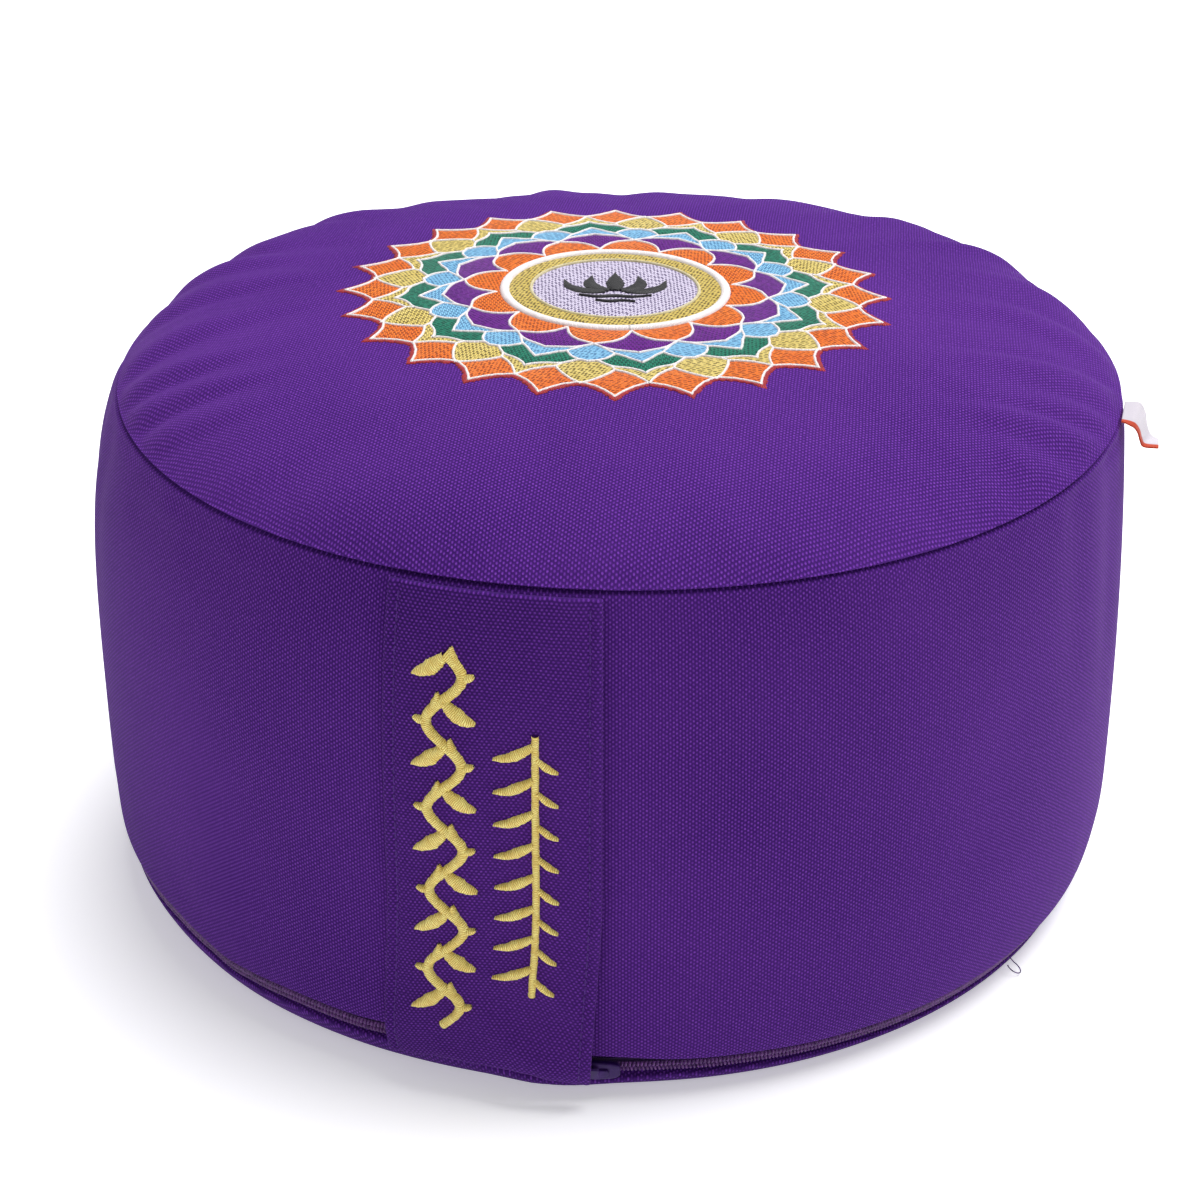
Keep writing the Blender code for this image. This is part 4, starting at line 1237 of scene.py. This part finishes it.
def make_strap_ornament():
    """Gold satin-stitch vine with leaves down the strap, and a straight stem with fronds."""
    dice = np.random.default_rng(3)
    gold = Joined()

    def stroke(path, width):
        satin(gold, resampled(path, THREAD_STEP), width, EMBROIDERY_LIFT, strap_lay, dice, EMBROIDERY_JAG)

    def leaf(root, heading, length, side, widest):
        """One leaf from root, pointing along heading degrees from the strap's downward direction."""
        angle = math.radians(heading)
        ahead = np.array((math.sin(angle), math.cos(angle)))
        aside = np.array((math.cos(angle), -math.sin(angle))) * side
        points = [np.array(root) + (ahead * u + aside * v * 0.5) * length for u, v in LEAF]
        path = resampled(curve_through(points), THREAD_STEP)
        width = np.interp(np.linspace(0, 1, len(path)), LEAF_SHARES, LEAF_WIDTHS) * widest
        satin(gold, path, width, EMBROIDERY_LIFT, strap_lay, dice, EMBROIDERY_JAG)

    down = np.linspace(VINE_START, VINE_END, 200)
    sway = VINE_MIDDLE + VINE_SWAY * np.sin(2 * math.pi * (down - VINE_START) / VINE_WAVE)
    stroke(np.stack([sway, down], -1), VINE_WIDTH)
    half_wave = VINE_WAVE / 2
    for index, at in enumerate(np.arange(VINE_START, VINE_END - half_wave / 2, half_wave)):
        # The vine sways to one side below this point, and a leaf fills the hollow on the other
        side = 1 if index % 2 else -1
        heading = math.degrees(math.atan2(VINE_REACH - 0.0006, half_wave * 0.52))
        leaf((VINE_MIDDLE, at + 0.0006), side * heading, BIG_LEAF_LENGTH, side, BIG_LEAF_WIDTH)
        bend = (VINE_MIDDLE - side * VINE_SWAY, at + half_wave * 0.5)
        leaf(bend, -side * BUD_HEADING, BUD_LENGTH, -side, BUD_WIDTH)
        root = (VINE_MIDDLE - side * 0.8 * VINE_SWAY, at + half_wave * 0.28)
        leaf(root, side * SMALL_LEAF_HEADING, SMALL_LEAF_LENGTH, side, SMALL_LEAF_WIDTH)
    stroke(np.array([(STEM_ACROSS, STEM_START), (STEM_ACROSS, STEM_END)]), STEM_WIDTH)
    for at in np.arange(STEM_START + 0.003, STEM_END - 0.009, FROND_STEP):
        for across, down, heading, length, side, widest in FRONDS:
            leaf((STEM_ACROSS + across, at + down), heading, length, side, widest)
    material = satin_material("gold_satin", GOLD_PITCH)
    piece = add_piece("strap_vine", gold.mesh("strap_vine", flip=True), material)
    return piece


def make_topstitching():
    """Stitches along both long edges of the strap."""
    dice = np.random.default_rng(5)
    thread = Joined()
    for inset in (STRAP_STITCH_INSET, STRAP_WIDTH - STRAP_STITCH_INSET):
        for start in np.arange(TOPSTITCH_MARGIN, STRAP_LENGTH - TOPSTITCH_MARGIN, TOPSTITCH_PITCH):
            path = np.array([(inset, start), (inset, start + 0.0011), (inset, start + 0.0023)])
            path[:, 0] += dice.uniform(-0.00008, 0.00008)
            width = np.array((0.00035, 0.00055, 0.00035))
            satin(thread, path, width, 0.00022, strap_lay, dice, 0)
    piece = add_piece("strap_topstitching", thread.mesh("strap_topstitching", flip=True),
                      satin_material("purple_thread"))
    return piece


def make_strap(weave, tone):
    """The handle strap with its turned edges, lying down the band from seam to seam."""
    def place(across, along, out):
        face = np.clip(out / (STRAP_THICKNESS / 2), 0, 1)
        return strap_place(across, along, out - strap_sink(across) * face)

    size = (STRAP_WIDTH, STRAP_LENGTH)
    mesh = cloth_shell("handle_strap_canvas", place, 90, 130, STRAP_THICKNESS, size)
    material = canvas_material("strap_canvas", strap_cells, STRAP_SHADED_AND_LIT, weave, tone)
    strap = add_piece("handle_strap_canvas", mesh, material)
    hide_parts("handle_strap")
    vine, stitching = make_strap_ornament(), make_topstitching()


def ribbon_material():
    """White woven ribbon with an orange-red band along its near edge and all over its back."""
    material, nodes, shader = new_material("label_ribbon", 0.55, sheen=0.1, specular=0.3)
    over = nodes.value_at("over")
    band = nodes.span(over, LABEL_HEM, LABEL_HEM + 0.0002, 1.0, 0.0)
    back = nodes.span(nodes.value_at("face"), -0.3, 0.1, 1.0, 0.0)
    band = nodes.math("MAXIMUM", band, back)
    threads = nodes.wave(nodes.times(over, 2 * math.pi / RIBBON_THREAD))
    rows = nodes.wave(nodes.times(nodes.value_at("down"), 2 * math.pi / RIBBON_ROW))
    relief = nodes.span(nodes.times(threads, rows), -1.0, 1.0, 0.0, 1.0)
    # The weave's hollows get painted shade and its crests painted highlight, and the white face is painted
    # grey all over as shade.
    white, red = nodes.between(relief, RIBBON_SHADED_AND_LIT), nodes.between(relief, RIBBON_BACK_SHADED_AND_LIT)
    colour = nodes.mix(band, white, red)
    dress(nodes, shader, colour, relief, 0.00012)
    return material


def label_edge(azimuth, edge, along):
    """A point of one side edge of the label, this share of the way from the seam to its end."""
    path = curve_through(edge, 12)
    even = np.linspace(0, 1, len(path))
    out, up = (np.interp(along, even, path[:, axis]) for axis in (0, 1))
    root = on_cover(azimuth, TOP_SEAM_HEIGHT, CLEARANCE)
    return root + out[..., None] * facing(azimuth)[1] + (up + LABEL_SEAM_RISE)[..., None] * UP


def make_label():
    """The small woven label, folded in an S and caught in the top seam."""
    def middle(across, along):
        near = label_edge(LABEL_NEAR_AZIMUTH, LABEL_NEAR_EDGE, along)
        far = label_edge(LABEL_FAR_AZIMUTH, LABEL_FAR_EDGE, along)
        hang = LABEL_CURL * smooth(0.16, 0.0, across) * smooth(0.0, 0.2, along)
        return near + (far - near) * across[..., None] - hang[..., None] * UP

    def place(across, along, out):
        step = 0.01
        low, high = np.clip(along - step, 0, 1), np.clip(along + step, 0, 1)
        ahead = middle(across, high) - middle(across, low)
        aside = middle(across + step, along) - middle(across - step, along)
        normal = np.cross(ahead, aside)
        normal /= np.linalg.norm(normal, axis=-1, keepdims=True)
        return middle(across, along) + normal * out[..., None]

    mesh = cloth_shell("side_label", place, 24, 60, LABEL_THICKNESS, LABEL_SIZE)
    label = add_piece("side_label", mesh, ribbon_material())
    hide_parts("label")


# The zip

def zip_face(azimuth, rise, out):
    """A point over the middle of the zip, this far up it and out of the coil's back."""
    return on_cover(azimuth, base_seam_height(azimuth) + rise, out - COIL_INSET)


def nylon_material():
    """Satin dyed nylon for the coil."""
    material, nodes, shader = new_material("coil_nylon", 0.38, specular=0.45)
    mottle = nodes.noise(nodes.place(), 700.0, 2.0)
    colour = nodes.between(nodes.span(mottle, 0.35, 0.65, 0.0, 1.0), COIL_SHADES)
    dress(nodes, shader, colour, mottle, 0.00008)
    return material


def tape_material():
    """The zip's narrow tape, in a fine twill."""
    material, nodes, shader = new_material("zip_tape_weave", 0.8, sheen=0.1, specular=0.15)
    parts = nodes.parts(nodes.place())
    ribs = nodes.times(nodes.angle_round(parts), WIDEST_RADIUS * 2 * math.pi / TWILL_RIB)
    rows = nodes.times(parts[2], 2 * math.pi / TWILL_ROW)
    wave = nodes.span(nodes.wave(nodes.math("ADD", ribs, rows)), -1.0, 1.0, 0.0, 1.0)
    # Painted shade in the twill's grooves and painted highlight on its ribs.
    dress(nodes, shader, nodes.between(wave, TAPE_SHADED_AND_LIT), wave, 0.00015)
    return material


def enamel_material():
    """Purple enamel on die-cast metal, a little rubbed."""
    material, nodes, shader = new_material("slider_enamel", 0.42, specular=0.28)
    rub = nodes.noise(nodes.place(), 420.0, 3.0)
    colour = nodes.between(nodes.span(rub, 0.5, 0.75, 0.0, 0.6), ENAMEL_SHADES)
    rough = nodes.span(rub, 0.3, 0.7, 0.36, 0.54)
    dress(nodes, shader, colour, rub, 0.00006, roughness=rough)
    return material


def make_teeth():
    """The closed coil: two rows of teeth, with none under the slider."""
    teeth = Joined()
    degree = math.radians(1) * WIDEST_RADIUS
    step = TOOTH_PITCH / degree
    share = np.linspace(-1, 1, 5)
    bulge = np.sqrt(np.clip(1 - share**2, 0, 1))
    first, last = ZIP_START + 1.2, ZIP_END - 1.2
    for side in (-1, 1):
        run = np.linspace(TOOTH_GAP, TOOTH_LENGTH, len(TOOTH_HEIGHTS))
        height = np.array(TOOTH_HEIGHTS)
        for azimuth in np.arange(first + (0.25 + 0.25 * side) * step, last, step):
            if abs(azimuth - SLIDER_AZIMUTH) * degree < SLIDER_LENGTH / 2 - 0.001:
                continue
            slant = TOOTH_SLANT * run[:, None] / TOOTH_LENGTH
            turn = azimuth + (share[None, :] * TOOTH_WIDTH / 2 + slant) / degree
            rise, lift = (side * run)[:, None], height[:, None] * bulge[None, :]
            grid = zip_face(*np.broadcast_arrays(turn, rise, lift))
            teeth.add_grid(grid[::-1] if side > 0 else grid)
    coil = add_piece("zip_teeth", teeth.mesh("zip_teeth"), nylon_material())
    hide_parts("zip_coil")


def make_slider(enamel):
    """The slider's body, as rounded blocks on the teeth."""
    here = on_cover(SLIDER_AZIMUTH, base_seam_height(SLIDER_AZIMUTH), SLIDER_OUT)
    along, out = facing(SLIDER_AZIMUTH)

    def squared(wave):
        return np.sign(wave) * np.abs(wave) ** BLOCK_SQUARENESS

    body = Joined()
    angle = np.linspace(0, 2 * math.pi, BLOCK_SIDES, endpoint=False)
    for length, height, low, high, taper, shift in SLIDER_BLOCKS:
        x, y = squared(np.cos(angle)) * length / 2, squared(np.sin(angle)) * height / 2
        y = y * (1 - taper * x / (length / 2))
        grid = np.array([here + np.outer(x * k + shift, along) + np.outer(y * k, UP)
                         + out * (low + rise * (high - low)) for k, rise in BLOCK_ROWS])
        first = body.count
        body.add_grid(grid, closed=True)
        body.add_fan(first + np.arange(BLOCK_SIDES), grid[0].mean(0))
    slider = add_piece("zip_slider_body", body.mesh("zip_slider_body"), enamel)
    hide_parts("zip_slider")


def make_zip():
    """The teeth, the slider, and finishes for the tape and the pull."""
    enamel = enamel_material()
    make_teeth()
    make_slider(enamel)
    for node, material in (("zip_tape", tape_material()), ("zip_pull", enamel)):
        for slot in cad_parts[node].material_slots:
            slot.material = material


def tube(joined, path, radius):
    """A round thread along a path of points in space."""
    ahead = np.gradient(path, axis=0)
    ahead /= np.linalg.norm(ahead, axis=1, keepdims=True)
    aside = np.cross(ahead, (0.3, -0.2, 0.93))
    aside /= np.linalg.norm(aside, axis=1, keepdims=True)
    third = np.cross(ahead, aside)
    angle = np.linspace(0, 2 * math.pi, 8, endpoint=False)
    ring = aside[:, None] * np.cos(angle)[None, :, None] + third[:, None] * np.sin(angle)[None, :, None]
    width = np.full(len(path), radius)
    width[0] = width[-1] = radius * 0.2
    joined.add_grid(path[:, None] + ring * width[:, None, None], closed=True, along=0.0)


LOOP_AZIMUTH, LOOP_HEIGHT, LOOP_OUT, LOOP_RADIUS = 62.5, 0.0040, 0.0004, 0.00018
LOOP_POINTS = (  # along the seam, out of it, up
    (-0.0010, 0.0, -0.0012), (-0.0014, 0.0010, -0.0018), (-0.0012, 0.0026, -0.0026),
    (-0.0002, 0.0038, -0.0031), (0.0011, 0.0036, -0.0029), (0.0016, 0.0022, -0.0020),
    (0.0013, 0.0008, -0.0010), (0.0010, -0.0004, 0.0002),
)


def make_loose_thread():
    """A small loop of sewing thread that hangs from the zip's seam near its right end."""
    thread = Joined()
    spot = on_cover(np.array(LOOP_AZIMUTH), np.array(LOOP_HEIGHT), LOOP_OUT)
    along, out = facing(LOOP_AZIMUTH)
    path = [spot + along * x + out * y + UP * z for x, y, z in LOOP_POINTS]
    tube(thread, curve_through(path, 8), LOOP_RADIUS)
    piece = add_piece("loose_thread", thread.mesh("loose_thread", flip=True),
                      satin_material("loose_purple_thread"))


def main():
    weave, tone, fill = plain_weave_group(), cloth_tone_group(), thread_fill_group()
    cover = make_cover(weave, tone)
    make_strap(weave, tone)
    make_zip()
    make_label()
    make_loose_thread()
    lay = Crown(cover["top_panel"]).lay
    make_rosette(lay, fill)
    make_emblem(lay)


FLOOR_GLOW = 0.38  # a lit white sweep, which keeps the shadows on it pale
FLOOR_COLOUR, SKY_COLOUR, SKY_STRENGTH = (0.92, 0.92, 0.93, 1), (0.96, 0.97, 1.0, 1), 0.35
LIGHTS = (  # name, place, size, power
    ("overhead", (0.70, 0.85, 2.8), 3.0, 150),
    ("left_fill", (-2.0, -1.6, 1.4), 1.6, 3),
)
LIGHT_AIM = (0, 0, 0.1)


def stage_and_light():
    """A plain white sweep, a broad soft light overhead and a faint one from the left."""
    scene = bpy.context.scene
    scene.view_settings.view_transform = "Standard"
    bpy.ops.mesh.primitive_plane_add(size=12, location=(0, 0, -0.0002))
    floor = bpy.context.object
    floor.name = "floor"
    material, _, shader = new_material("white_sweep", 0.9, specular=0.1)
    shader.inputs["Base Color"].default_value = FLOOR_COLOUR
    shader.inputs["Emission Color"].default_value = (1, 1, 1, 1)
    shader.inputs["Emission Strength"].default_value = FLOOR_GLOW
    floor.data.materials.append(material)

    world = bpy.data.worlds.new("studio")
    scene.world = world
    world.use_nodes = True
    background = world.node_tree.nodes["Background"]
    background.inputs["Color"].default_value = SKY_COLOUR
    background.inputs["Strength"].default_value = SKY_STRENGTH
    for name, place, size, power in LIGHTS:
        lamp = bpy.data.lights.new(name, "AREA")
        lamp.shape = "DISK"
        lamp.size = size
        lamp.energy = power
        holder = bpy.data.objects.new(name, lamp)
        holder.location = place
        aim = Vector(LIGHT_AIM) - holder.location
        holder.rotation_euler = aim.to_track_quat("-Z", "Y").to_euler()
        scene.collection.objects.link(holder)


def photo_camera():
    """The photograph's view, with the cushion's axis a little right of its middle."""
    azimuth, elevation = math.radians(VIEW_AZIMUTH), math.radians(VIEW_ELEVATION)
    back = Vector((math.sin(azimuth) * math.cos(elevation), -math.cos(azimuth) * math.cos(elevation),
                   math.sin(elevation)))
    camera = bpy.data.objects.new("photo_camera", bpy.data.cameras.new("photo_camera"))
    camera.data.sensor_width = SENSOR_WIDTH
    camera.data.lens = FOCAL_PIXELS / PHOTO_WIDTH * SENSOR_WIDTH
    camera.data.shift_x = -(AXIS_PIXEL - PHOTO_WIDTH / 2) / PHOTO_WIDTH
    camera.data.clip_start = 0.02
    camera.location = Vector((0, 0, AIM_HEIGHT)) + back * VIEW_DISTANCE
    camera.rotation_euler = (-back).to_track_quat("-Z", "Y").to_euler()
    bpy.context.scene.collection.objects.link(camera)
    bpy.context.scene.camera = camera


photo_camera()
stage_and_light()
main()
